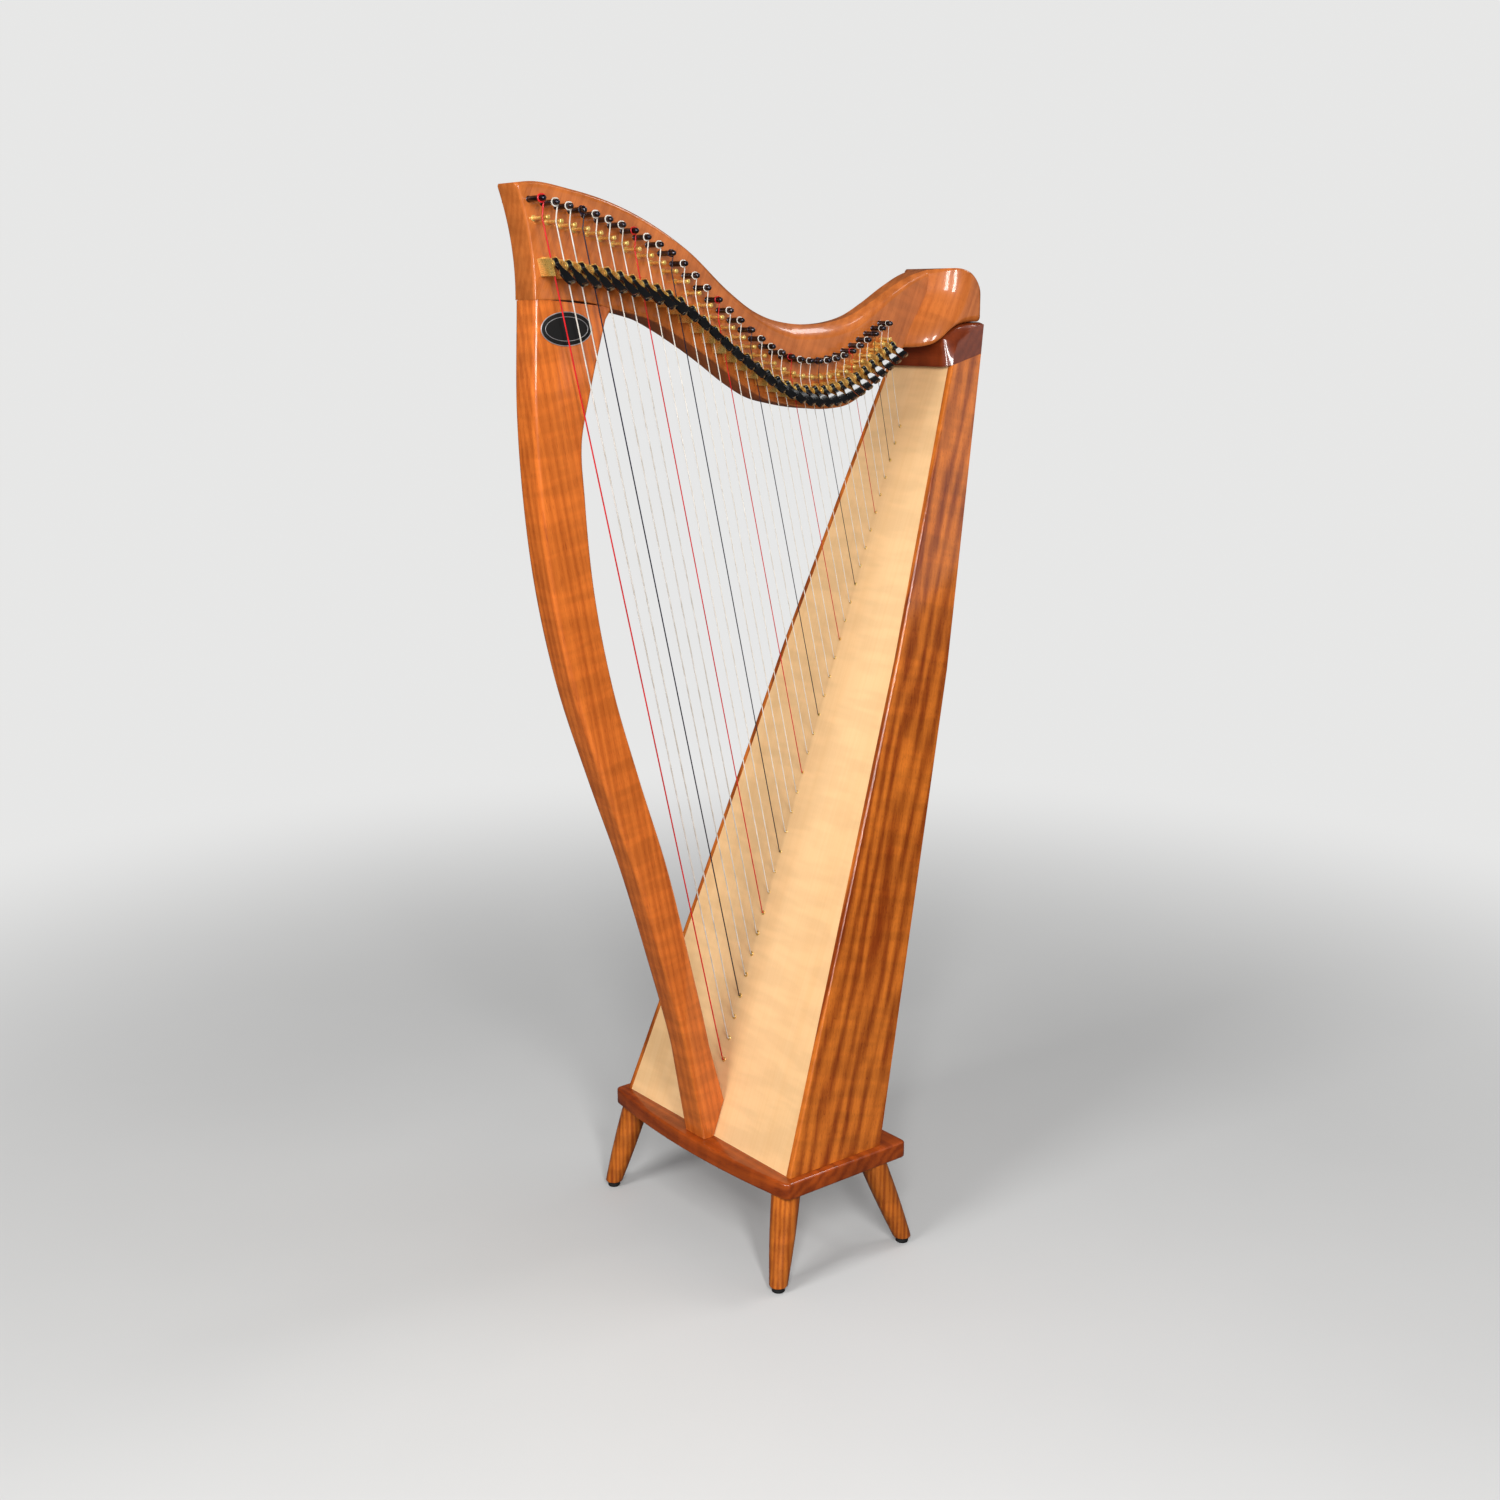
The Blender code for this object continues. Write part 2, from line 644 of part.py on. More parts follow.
def base_plate(finish, parent):
    """The foot board that the column and soundbox stand on, bored for the legs' studs."""
    low = LEG_HEIGHT
    levels = ((low, PLATE_EASE), (low + PLATE_EASE, 0.0),
              (PLATE_TOP - PLATE_EASE, 0.0), (PLATE_TOP, PLATE_EASE))
    rings = [[(x, y, z) for x, y in plate_outline(inset)] for z, inset in levels]
    shape = Shape()
    shape.loft(rings)
    plate = shape.add("base_plate", finish, parent)
    cutters = Shape()
    for place in leg_places():
        cutters.loft([circle_at(leg_centre(place, z), STUD_RADIUS + GAP, STUD_SIDES)
                      for z in (low - STUD_IN_PLATE, low + STUD_IN_PLATE + GAP)])
    combine(plate, "DIFFERENCE", cutters.add_tool("stud_bores", finish, parent))
    return plate


def circle_at(centre, radius, sides):
    """A level ring of points."""
    angles = 2 * math.pi * np.arange(sides) / sides
    return [(centre[0] + radius * math.cos(a), centre[1] + radius * math.sin(a), centre[2])
            for a in angles]


def leg_centre(place, z):
    """The middle of a leg at a height, down its splayed line."""
    x, y, dx, dy = place
    drop = (LEG_HEIGHT - z) / LEG_HEIGHT
    return (x + dx * drop, y + dy * drop, z)


def leg_places():
    """Each leg's top centre, and how far its foot is splayed from there."""
    return ((LEG_FRONT_X, -LEG_FRONT_Y, -LEG_FRONT_SPLAY_X, -LEG_SPLAY_Y),
            (LEG_FRONT_X, LEG_FRONT_Y, -LEG_FRONT_SPLAY_X, LEG_SPLAY_Y),
            (LEG_BACK_X, -LEG_BACK_Y, LEG_BACK_SPLAY_X, -LEG_SPLAY_Y),
            (LEG_BACK_X, LEG_BACK_Y, LEG_BACK_SPLAY_X, LEG_SPLAY_Y))


def legs(finish, rubber, zinc, parent):
    """Four splayed, tapered legs with threaded studs and rubber feet."""
    names = ("front_left", "front_right", "back_left", "back_right")
    bottom = FOOT_HEIGHT + GAP
    top = LEG_HEIGHT - GAP
    waist = 0.5 * (bottom + top)
    bore = STUD_RADIUS + GAP
    for name, place in zip(names, leg_places()):
        levels = ((bottom, LEG_BOTTOM_RADIUS - LEG_EASE), (bottom + LEG_EASE, LEG_BOTTOM_RADIUS),
                  (waist, 0.5 * (LEG_TOP_RADIUS + LEG_BOTTOM_RADIUS) + LEG_SWELL),
                  (top, LEG_TOP_RADIUS), (top, bore), (LEG_HEIGHT - STUD_IN_LEG - GAP, bore))
        leg = Shape()
        leg.loft([circle_at(leg_centre(place, z), r, LEG_SIDES) for z, r in levels])
        leg.add(f"leg_{name}", finish, parent, smooth=35)
        x, y, _ = leg_centre(place, bottom)
        foot = Shape()
        foot.loft([circle_at((x, y, z), r, LEG_SIDES)
                   for z, r in ((0.0, FOOT_RADIUS - FOOT_EASE), (FOOT_EASE, FOOT_RADIUS),
                                (FOOT_HEIGHT, FOOT_RADIUS))])
        foot.add(f"foot_{name}", rubber, parent, smooth=35)
        stud = Shape()
        stud.loft([circle_at(leg_centre(place, z), STUD_RADIUS, STUD_SIDES)
                   for z in (LEG_HEIGHT - STUD_IN_LEG, LEG_HEIGHT + STUD_IN_PLATE)])
        stud.add(f"stud_{name}", zinc, parent, smooth=50)


def column_front(share):
    """Front edge of the column at a share of its height."""
    foot = np.array([-COLUMN_FOOT_FRONT, PLATE_TOP])
    line = foot + (JOINT_FRONT - foot) * share
    return line - np.array([float(through(COLUMN_BOW, share)[0]), 0.0])


def eased_ring(front, back, ease_front, ease_back):
    """A level section of the column, with rounded corners."""
    length = float(np.hypot(*(back - front)))
    along = (back - front) / length
    half = HALF_THICK
    near = ROUND_MIDDLE * ease_front
    far = ROUND_MIDDLE * ease_back
    side = [(0.0, half - ease_front), (near, half - near), (ease_front, half),
            (length - ease_back, half), (length - far, half - far), (length, half - ease_back)]
    ring = []
    for reach, y in [(reach, -y) for reach, y in side[::-1]] + side:
        point = front + along * reach
        ring.append((point[0], y, point[1]))
    return ring


def column(finish, parent):
    """The curved column, its foot let in against the soundboard."""
    rings = []
    seat_share = COLUMN_FOOT_SEAT * math.sin(BOARD_ANGLE) / (JOINT_FRONT[1] - PLATE_TOP)
    for share in (0.0, seat_share):
        front = column_front(share) + np.array([0.0, GAP if share == 0.0 else 0.0])
        seat = in_box((front[1] - PLATE_TOP) / math.sin(BOARD_ANGLE), 0.0)
        back = np.array([seat[0] - 2 * GAP, front[1]])
        rings.append(eased_ring(front, back, COLUMN_FOOT_EASE, COLUMN_FOOT_BACK_EASE))
    for share in [*np.linspace(*COLUMN_CURVE, COLUMN_CURVE_RINGS), *COLUMN_FLARE_RINGS]:
        front = column_front(share)
        depth = float(through(COLUMN_DEPTH, share)[0])
        back = front + np.array([depth, 0.0])
        rings.append(eased_ring(front, back, COLUMN_EASE, COLUMN_BACK_EASE))
    front = column_front(1.0)
    back = front + np.array([NECK_SPAN * NECK_JOINT[-1][0], 0.0])
    top = []
    for x, y, z in eased_ring(front, back, COLUMN_EASE, COLUMN_BACK_EASE):
        rise = float(through(NECK_JOINT, share_of(x))[0])
        top.append((x, y, on_neck(share_of(x), rise)[1] - GAP))
    rings.append(top)
    shape = Shape()
    shape.loft(rings)
    return shape.add("column", finish, parent, smooth=40)


def cap_profile(reach, inside=1.0):
    """Height of the cap's top over the box at a reach back.

    Its sides, where inside is 0, are a quarter ellipse from the soundboard's top edge. The
    neck's seat, where inside is 1, starts higher and rises more gently.
    """
    left = 1.0 - np.clip(reach / SHOULDER_BACK, 0.0, 1.0)
    side = CAP_SIDE_FRONT + (CAP_HEIGHT - CAP_SIDE_DROP - CAP_SIDE_FRONT) * np.sqrt(1 - left**2)
    seat = CAP_FRONT_HEIGHT + (CAP_HEIGHT - CAP_FRONT_HEIGHT) * (1 - left**CAP_ROUND)
    return side + inside * (seat - side)


def cap_reaches():
    """Where the cap's top has its rings: close together on the round front."""
    turn = np.linspace(0, math.pi / 2, CAP_RINGS + 1)
    return list(SHOULDER_BACK * (1 - np.cos(turn)))


def shoulder_block(finish, parent):
    """The cap on the soundbox: quarter-round front, coved up to the neck."""
    sides = [HALF_WIDTH_TOP, HALF_WIDTH_TOP - 0.5 * CAP_COVE_WIDTH,
             HALF_WIDTH_TOP - CAP_COVE_WIDTH]
    across = [-y for y in sides] + sides[::-1]
    rings = []
    for y in across:
        across_cove = min((HALF_WIDTH_TOP - abs(y)) / CAP_COVE_WIDTH, 1.0)
        inside = math.sin(0.5 * math.pi * across_cove)
        cove = CAP_COVE * inside
        ring = []
        for reach in cap_reaches():
            fade = 1.0 - reach / SHOULDER_BACK
            x = BOARD_TOP[0] + reach - cove * fade
            z = BOARD_TOP[1] + float(cap_profile(reach, inside)) + cove * fade
            ring.append((x, y, z))
        foot_back = in_box(top_along(BOX_DEPTH_TOP), BOX_DEPTH_TOP)
        ring.append((foot_back[0], y, foot_back[2]))
        ring.append((BOARD_TOP[0] - cove, y, BOARD_TOP[1] - CAP_LIP * cove))
        rings.append(ring)
    shape = Shape()
    shape.loft(rings)
    return shape.add("shoulder_block", finish, parent, smooth=35)


def shoulder_line(z):
    """Where the neck's flat sides end at a height, and the shoulder starts to swell."""
    rise = (z - BOARD_TOP[1]) / SHOULDER_TOP
    return BOARD_TOP[0] - SHOULDER_TOP * float(through(SHOULDER_LINE, rise)[0])


def towards_line(point):
    """A point of the neck moved so that the nearest ring runs along the shoulder's line."""
    start = on_neck(*NECK_BOTTOM[-1])
    crest = on_neck(*NECK_TOP[-1])
    straight = float(np.interp(point[1], [start[1], crest[1]], [start[0], crest[0]]))
    near = max(0.0, 1.0 - abs(point[0] - straight) / LINE_REACH)
    return point + np.array([near * (shoulder_line(point[1]) - straight), 0.0])


def neck_half(x, z):
    """Half the neck's thickness: flat sides, then the swell of the shoulder."""
    swell = np.clip((x - shoulder_line(z)) / SHOULDER_SWELL_RUN, 0.0, 1.0)
    return HALF_THICK + (SHOULDER_HALF_WIDTH - HALF_THICK) * (1 - (1 - swell) ** 2)


def neck_stations():
    """Pairs of bottom and top points, from the head to the shoulder's back."""
    pairs = []
    joint = np.linspace(0.0, NECK_JOINT[-1][0], JOINT_RINGS)
    for share in joint[:-1]:
        lead = NECK_TOP[0][0] * (1 - share / NECK_JOINT[-1][0]) ** 2
        bottom = on_neck(share, float(through(NECK_JOINT, share)[0]))
        top = on_neck(share + lead, float(through(NECK_TOP, share + lead)[0]))
        pairs.append((bottom, top))
    first = NECK_BOTTOM[0][0]
    last = NECK_BOTTOM[-1][0]
    for share in np.linspace(first, last, CURVE_RINGS):
        grow = np.clip((share - TOP_LEAN_START) / (last - TOP_LEAN_START), 0.0, 1.0)
        lean = SHOULDER_TOP_LEAN / NECK_SPAN * grow**TOP_LEAN_EASE
        bottom = on_neck(share, float(through(NECK_BOTTOM, share)[0]))
        top = on_neck(share + lean, float(through(NECK_TOP, share + lean)[0]))
        pairs.append((bottom, top))
    pairs.extend(shoulder_stations())
    return pairs


def shoulder_stations():
    """Bottom and top points past the valley, down to the cap and round to the back."""
    start = on_neck(*NECK_BOTTOM[-1])
    crest = on_neck(*NECK_TOP[-1])
    back = BOARD_TOP[0] + SHOULDER_BACK
    seat = BOARD_TOP[1] + CAP_FRONT_HEIGHT + CAP_COVE + GAP
    cap_front = BOARD_TOP[0] - CAP_COVE - GAP
    bottoms = [(start[0] + f * (cap_front - start[0]), start[1] + f * f * (seat - start[1]))
               for f in SHOULDER_RINGS]
    for reach in cap_reaches():
        fade = 1.0 - reach / SHOULDER_BACK
        bottoms.append((BOARD_TOP[0] + reach - CAP_COVE * fade - 2 * GAP * fade,
                        BOARD_TOP[1] + float(cap_profile(reach)) + CAP_COVE * fade + 2 * GAP))
    top_z = BOARD_TOP[1] + SHOULDER_TOP
    radius = SHOULDER_BACK_RADIUS
    tops = []
    flat = back - radius
    for f in CREST_RINGS:
        tops.append((crest[0] + f * (flat - crest[0]), crest[1] + math.sqrt(f)
                     * (top_z - crest[1])))
    for a in np.linspace(0, math.pi / 2, CAP_RINGS + 2)[1:]:
        tops.append((flat + radius * math.sin(a), top_z - radius * (1 - math.cos(a))))
    return [(np.array(b), np.array(t)) for b, t in zip(bottoms, tops)]


def neck(runs, finishes, parent):
    """The harmonic curve: flat sides, hollow bevels on top, swelling into the shoulder."""
    pairs = neck_stations()
    rings = []
    back = pairs[-1][0][0]
    for number, (bottom, top) in enumerate(pairs):
        share = share_of(0.5 * (bottom[0] + top[0]))
        wide = NECK_SPAN * float(bands(BEVEL_WIDTH, share))
        height = float(np.hypot(*(top - bottom)))
        drop = min(NECK_SPAN * float(bands(BEVEL_DROP, share)), BEVEL_MOST * height)
        rise = (top - bottom) / height
        ease = min(NECK_EASE, NECK_EASE_MOST * height)
        bow = HEAD_BOW * max(0.0, 1.0 - (bottom[0] - JOINT_FRONT[0]) / HEAD_BOW_RUN)
        in_joint = share < NECK_JOINT[-1][0]
        rows = [(JOINT_EASE * ease if in_joint else ease, 0.0)]
        rows += [(row * height, 0.0) for row in NECK_ROWS]
        rows += [(height - drop, 0.0),
                 (height - BEVEL_MIDDLE_DROP * drop, BEVEL_MIDDLE_WIDTH * wide), (height, wide)]
        near = []
        on_cap = bottom[0] > BOARD_TOP[0] - CAP_COVE - 3 * GAP
        for row, (up, inward) in enumerate(rows):
            p = bottom + rise * up
            if row == 0 and on_cap:
                p = bottom + np.array([0.0, up])
            p = p + np.array([4 * bow * (up / height) * (1 - up / height), 0.0])
            p = towards_line(p)
            half = neck_half(p[0], p[1]) - inward
            round_off = SHOULDER_EASE * max(0.0, 1 - (back - p[0]) / SHOULDER_EASE) ** 2
            near.append((p[0], half - round_off, p[1]))
        foot_half = near[0][1] - (0.0 if in_joint else ease)
        near.insert(0, (bottom[0], foot_half, bottom[1]))
        ring = [(x, -y, z) for x, y, z in near] + [(x, y, z) for x, y, z in near[::-1]]
        rings.append(ring)
    shape = Shape()
    shape.loft(rings)
    item = shape.add("neck", finishes["wood"], parent, smooth=28)
    combine(item, "UNION", tuning_pins(runs).add_tool("tuning_pins", finishes["blued"], parent))
    combine(item, "UNION", bridge_pins(runs).add_tool("bridge_pins", finishes["brass"], parent))
    bodies = Shape()
    for run in runs:
        lever_body(bodies, run)
    combine(item, "UNION", bodies.add_tool("lever_bodies", finishes["brass"], parent))
    return item


def badge(finish, parent):
    """A blank oval plaque near the top of the column."""
    x = JOINT_FRONT[0] + BADGE_IN
    z = JOINT_FRONT[1] - BADGE_DOWN
    angles = 2 * math.pi * np.arange(BADGE_SIDES) / BADGE_SIDES
    rings = []
    for depth, shrink in ((GAP, 0.0), (BADGE_EDGE_START * BADGE_THICKNESS, 0.0),
                          (BADGE_THICKNESS, BADGE_EDGE)):
        rings.append([(x + (BADGE_LENGTH / 2 - shrink) * math.cos(a), -HALF_THICK - depth,
                       z + (BADGE_WIDTH / 2 - shrink) * math.sin(a)) for a in angles])
    shape = Shape()
    shape.loft(rings)
    return shape.add("badge", finish, parent, smooth=35)


class StringRun:
    """One string: where it stands on the board, crosses its bridge pin and winds up."""

    def __init__(self, number, foot_along_board, bridge_x):
        self.number = number
        place = number / (STRING_COUNT - 1)
        self.place = place
        self.radius = RADIUS_BASS + (RADIUS_TREBLE - RADIUS_BASS) * place**RADIUS_EASE
        self.standoff = STANDOFF_BASS + (STANDOFF_TREBLE - STANDOFF_BASS) * place
        self.y = -HALF_THICK - self.standoff
        self.eyelet_radius = (EYELET_RADIUS_BASS if number < WOUND_COUNT
                              else EYELET_RADIUS_TREBLE)
        self.kind = {0: "red", 3: "navy"}.get(number % 7,
                                              "wound" if number < WOUND_COUNT else "clear")
        self.along_board = foot_along_board
        share = share_of(bridge_x)
        row = on_neck(share, float(through(BRIDGE_ROW, share)[0]))
        self.bridge = np.array([row[0], self.y, row[1]])
        self.seat = in_box(foot_along_board, BOARD_RECESS - belly(foot_along_board))
        out = np.array([-INTO[0], 0.0, -INTO[1]])
        self.out = out
        self.foot = self.seat + out * (EYELET_HEIGHT + GAP + self.radius)
        self.knot = self.seat - out * (BOARD_THICKNESS + GAP + 0.5 * RIB_THICKNESS)
        run = self.foot - self.bridge
        self.length = float(np.linalg.norm(run))
        self.direction = run / self.length
        flat = np.array([run[0], 0.0, run[2]])
        self.down = flat / np.linalg.norm(flat)
        self.across = np.array([-self.down[2], 0.0, self.down[0]])
        self.tuning_pin = self.bridge + np.array([-PIN_OFFSET, 0.0, PIN_RISE])
        first_turn = self.winding()[0] - self.bridge
        upward = np.array([first_turn[0], 0.0, first_turn[2]])
        upward /= np.linalg.norm(upward)
        middle = upward + self.down
        middle /= np.linalg.norm(middle)
        spread = math.sqrt(1 - float(middle @ upward) ** 2)
        self.bridge_pin = self.bridge + middle * (BRIDGE_RADIUS + self.radius + GAP) / spread

    def winding(self):
        """The turns round the tuning pin, off its player's side and outwards."""
        reach = (PIN_RADIUS + self.radius + GAP) / math.cos(math.pi / WIND_POINTS)
        to_pin = self.tuning_pin - self.bridge
        distance = math.hypot(to_pin[0], to_pin[2])
        heading = math.atan2(-to_pin[2], -to_pin[0])
        start = heading + math.acos(reach / distance)
        steps = int(WIND_TURNS * WIND_POINTS)
        pitch = 2 * self.radius + WIND_SPACE
        turns = np.arange(steps + 1) / WIND_POINTS
        angles = start + 2 * math.pi * turns
        x = self.tuning_pin[0] + reach * np.cos(angles)
        z = self.tuning_pin[2] + reach * np.sin(angles)
        y = self.y - pitch * np.maximum(turns, 0.0)
        return np.stack([x, y, z], axis=1)

    def route(self):
        """All points from the board to the end of the winding."""
        return np.vstack([self.knot, self.foot, self.bridge, self.winding()])

    def lever_centre(self):
        """The lever's axis: over the string, below the bridge pin."""
        away = LEVER_SHARE * self.length + LEVER_START
        on_string = self.bridge + self.direction * away
        return on_string + np.array([0.0, -self.cam_lift(), 0.0])

    def cam_lift(self):
        """Distance from the string to the lever's axis, square to the neck."""
        level = math.hypot(self.direction[0], self.direction[2])
        return (CAM_LOBE + self.radius + GAP) / level

    def string_depth(self, along):
        """How far under the lever's axis the string runs, at a place along the lever's body."""
        slope = self.direction[1] / math.hypot(self.direction[0], self.direction[2])
        return self.cam_lift() + along * slope


def spaced(first, last, place, fall, ease):
    """A place between two ends, where the pitch falls by a share from one to the other."""
    power = ease + 1
    return first + (last - first) * (place - fall * place**power / power) / (1 - fall / power)


def string_runs():
    """All strings, from the bass to the treble, by the two pitch rules."""
    runs = []
    for number in range(STRING_COUNT):
        place = number / (STRING_COUNT - 1)
        foot = spaced(FIRST_FOOT, BOARD_LENGTH - LAST_FOOT_MARGIN, place, FOOT_PITCH_FALL,
                      FOOT_PITCH_EASE)
        bridge_x = spaced(JOINT_FRONT[0] - FIRST_STRING_IN, BOARD_TOP[0] - LAST_STRING_IN, place,
                          STRING_PITCH_FALL, STRING_PITCH_EASE)
        runs.append(StringRun(number, foot, bridge_x))
    return runs


def least_gap(points, radius, skip):
    """Least distance between turns of one tube, less its own thickness."""
    least = 1.0
    for i in range(len(points) - skip):
        away = np.linalg.norm(points[i + skip:] - points[i], axis=1)
        least = min(least, float(away.min()) - 2 * radius)
    return least


def tuning_pins(runs):
    """Pins through the neck: the string winds on one end, and the key fits the square other."""
    shape = Shape()
    side = (1.0, 0.0, 0.0)
    for run in runs:
        x, z = run.tuning_pin[0], run.tuning_pin[2]
        reach = run.standoff + PIN_PAST_STRING
        profile = ((-PIN_SEAT, PIN_RADIUS), (reach, PIN_RADIUS),
                   (reach + PIN_TIP, PIN_TIP_SHARE * PIN_RADIUS))
        turned(shape, (x, -HALF_THICK, z), (0.0, -1.0, 0.0), side, profile, PIN_SIDES)
        profile = ((-PIN_SEAT, KEY_RADIUS), (KEY_LENGTH, KEY_RADIUS * KEY_TAPER))
        turned(shape, (x, HALF_THICK, z), (0.0, 1.0, 0.0), side, profile, KEY_SIDES)
    return shape


def bridge_pins(runs):
    """Grooved brass pins that set where each string starts to sound."""
    shape = Shape()
    for run in runs:
        x, z = run.bridge_pin[0], run.bridge_pin[2]
        past = BRIDGE_PAST_BASS + (BRIDGE_PAST_TREBLE - BRIDGE_PAST_BASS) * run.place
        profile = ((-PIN_SEAT, BRIDGE_RADIUS), (run.standoff + BRIDGE_GROOVE, BRIDGE_RADIUS),
                   (run.standoff + past, BRIDGE_HEAD_RADIUS))
        turned(shape, (x, -HALF_THICK, z), (0.0, -1.0, 0.0), (1.0, 0.0, 0.0), profile,
               BRIDGE_SIDES)
    return shape


def lever_body(shape, run):
    """The brass body: a base on the neck, two cheeks, and a fret behind the string."""
    centre = run.lever_centre()
    inner = LEVER_NECK_HALF + GAP
    outer = inner + CHEEK_THICKNESS
    face = HALF_THICK - abs(centre[1])
    crown = CHEEK_PAST_PIVOT
    fret = -(run.string_depth(0.0) + run.radius + FRET_CLEARANCE)
    base = face + BODY_BASE
    stations = ((-BODY_ABOVE, base + CHEEK_TOE, base), (-CHEEK_RUN, 0.0, base),
                (CHEEK_CROWN[0] * CHEEK_RUN, crown, fret), (CHEEK_CROWN[1] * CHEEK_RUN, crown, fret),
                (CHEEK_FALL * CHEEK_RUN, 0.0, base), (BODY_BELOW, base + CHEEK_TOE, base))
    rings = []
    for d, top, bed in stations:
        section = ((-outer, face - BODY_SEAT), (-outer, top), (-inner, top), (-inner, bed),
                   (inner, bed), (inner, top), (outer, top), (outer, face - BODY_SEAT))
        rings.append([centre + run.across * a + run.down * d + np.array([0.0, -n, 0.0])
                      for a, n in section])
    shape.loft(rings)


def lever_outline():
    """The lever in its own plane at rest: (outwards, down) points with half widths."""
    c, s = math.cos(LEVER_REST_ANGLE), math.sin(LEVER_REST_ANGLE)
    half = LEVER_THICKNESS / 2
    handle = []
    for reach, wide in ((LEVER_LENGTH, LEVER_PADDLE_HALF), (PADDLE_FULL, LEVER_PADDLE_HALF),
                        (PADDLE_START, LEVER_NECK_HALF)):
        handle.append((reach, wide))
    lower = [(reach * c - half * s, reach * s + half * c, wide) for reach, wide in handle]
    upper = [(reach * c + half * s, reach * s - half * c, wide) for reach, wide in handle]
    # the head runs from the handle's upper side over the lobe and back to its lower side
    head = []
    begin = math.atan2(s, c) - HEAD_START
    turn = 2 * math.pi - 2 * HEAD_START
    for k in range(HEAD_STEPS + 1):
        angle = begin - turn * k / HEAD_STEPS
        toward_lobe = math.cos(angle + math.pi / 2)
        radius = CAM_RADIUS + (CAM_LOBE - CAM_RADIUS) * max(0.0, toward_lobe) ** 3
        head.append((radius * math.cos(angle), radius * math.sin(angle), LEVER_NECK_HALF))
    return upper, head, lower


def lever(run, finish, parent):
    """One sharping lever: a cam between the cheeks and a paddle to flip it by."""
    centre = run.lever_centre()
    upper, head, lower = lever_outline()
    outline = upper + head + lower[::-1]
    count = len(outline)
    vertices = []
    for sign in (-1, 1):
        for out, down, wide in outline:
            vertices.append(centre + run.across * (sign * wide) + run.down * down
                            + np.array([0.0, -out, 0.0]))
    faces = []
    for k in range(count):
        j = (k + 1) % count
        faces.append((k, j, count + j, count + k))
    arms = len(upper)
    flats = [tuple(range(arms - 1, count - arms + 1))]
    for k in range(arms - 1):
        flats.append((k, k + 1, count - 2 - k, count - 1 - k))
    for flat in flats:
        faces.append(tuple(reversed(flat)))
        faces.append(tuple(count + k for k in flat))
    name = f"lever_{run.number + 1:02d}"
    return add_mesh(name, vertices, faces, finish, parent, origin=centre, smooth=30)


def stand_on_origin(frame):
    """Move the harp so that the middle of its footprint is over the origin."""
    bpy.context.view_layer.update()
    graph = bpy.context.evaluated_depsgraph_get()
    low = 1e9
    high = -1e9
    for item in bpy.data.objects:
        if item.type == "EMPTY" or item.hide_render:
            continue
        shape = item.evaluated_get(graph).to_mesh()
        xs = [(item.matrix_world @ v.co).x for v in shape.vertices]
        low = min(low, min(xs))
        high = max(high, max(xs))
        item.evaluated_get(graph).to_mesh_clear()
    frame.location = Vector((-(low + high) / 2, 0.0, 0.0))
    bpy.context.view_layer.update()


def build():
    """Make every piece of the harp."""
    clear_scene()
    frame = bpy.data.objects.new("harp_frame", None)
    bpy.context.collection.objects.link(frame)
    finishes = {
        "wood": material("sapele_lacquered", WOOD, 0.22),
        "dark": material("sapele_dark", WOOD_DARK, 0.25),
        "birch": material("birch_lacquered", BIRCH, 0.30),
        "brass": material("brass_polished", BRASS, 0.25, 1.0),
        "blued": material("steel_blued", STEEL_BLUE, 0.25, 1.0),
        "zinc": material("steel_zinc", ZINC, 0.40, 1.0),
        "black": material("plastic_black", BLACK, 0.18),
        "rubber": material("rubber_black", RUBBER, 0.85),
        "red": material("string_red", RED, 0.35),
        "navy": material("string_black", NAVY, 0.35),
        "clear": material("string_clear", CLEAR, 0.30),
        "wound": material("string_wound", WOUND, 0.35, 0.6),
        "badge": material("plaque_black", BLACK, 0.20),
    }
    runs = string_runs()
    base_plate(finishes["wood"], frame)
    legs(finishes["wood"], finishes["rubber"], finishes["zinc"], frame)
    soundboard(runs, finishes, frame)
    side_panel("soundbox_left_side", -1, finishes["wood"], frame)
    side_panel("soundbox_right_side", 1, finishes["wood"], frame)
    back_panel(finishes["wood"], frame)
    string_rib(runs, finishes, frame)
    board_braces(finishes["birch"], frame)
    shoulder_block(finishes["dark"], frame)
    column(finishes["wood"], frame)
    neck(runs, finishes, frame)
    badge(finishes["badge"], frame)
    for run in runs:
        lever(run, finishes["black"], frame)
    stand_on_origin(frame)


build()
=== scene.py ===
"""Looks of a floor-standing lever harp: lacquered sapele and birch, brass and blued steel.

Metres, +Z up. The harp's own lines start where the soundboard's front meets the base plate:
+X runs from the column to the player, and the strings stand on the -Y side of the neck.
Every surface is a grid of points worked out with numpy and put into a mesh as whole arrays.
"""

import logging
import math
from dataclasses import dataclass, field
from enum import Enum
from functools import cache

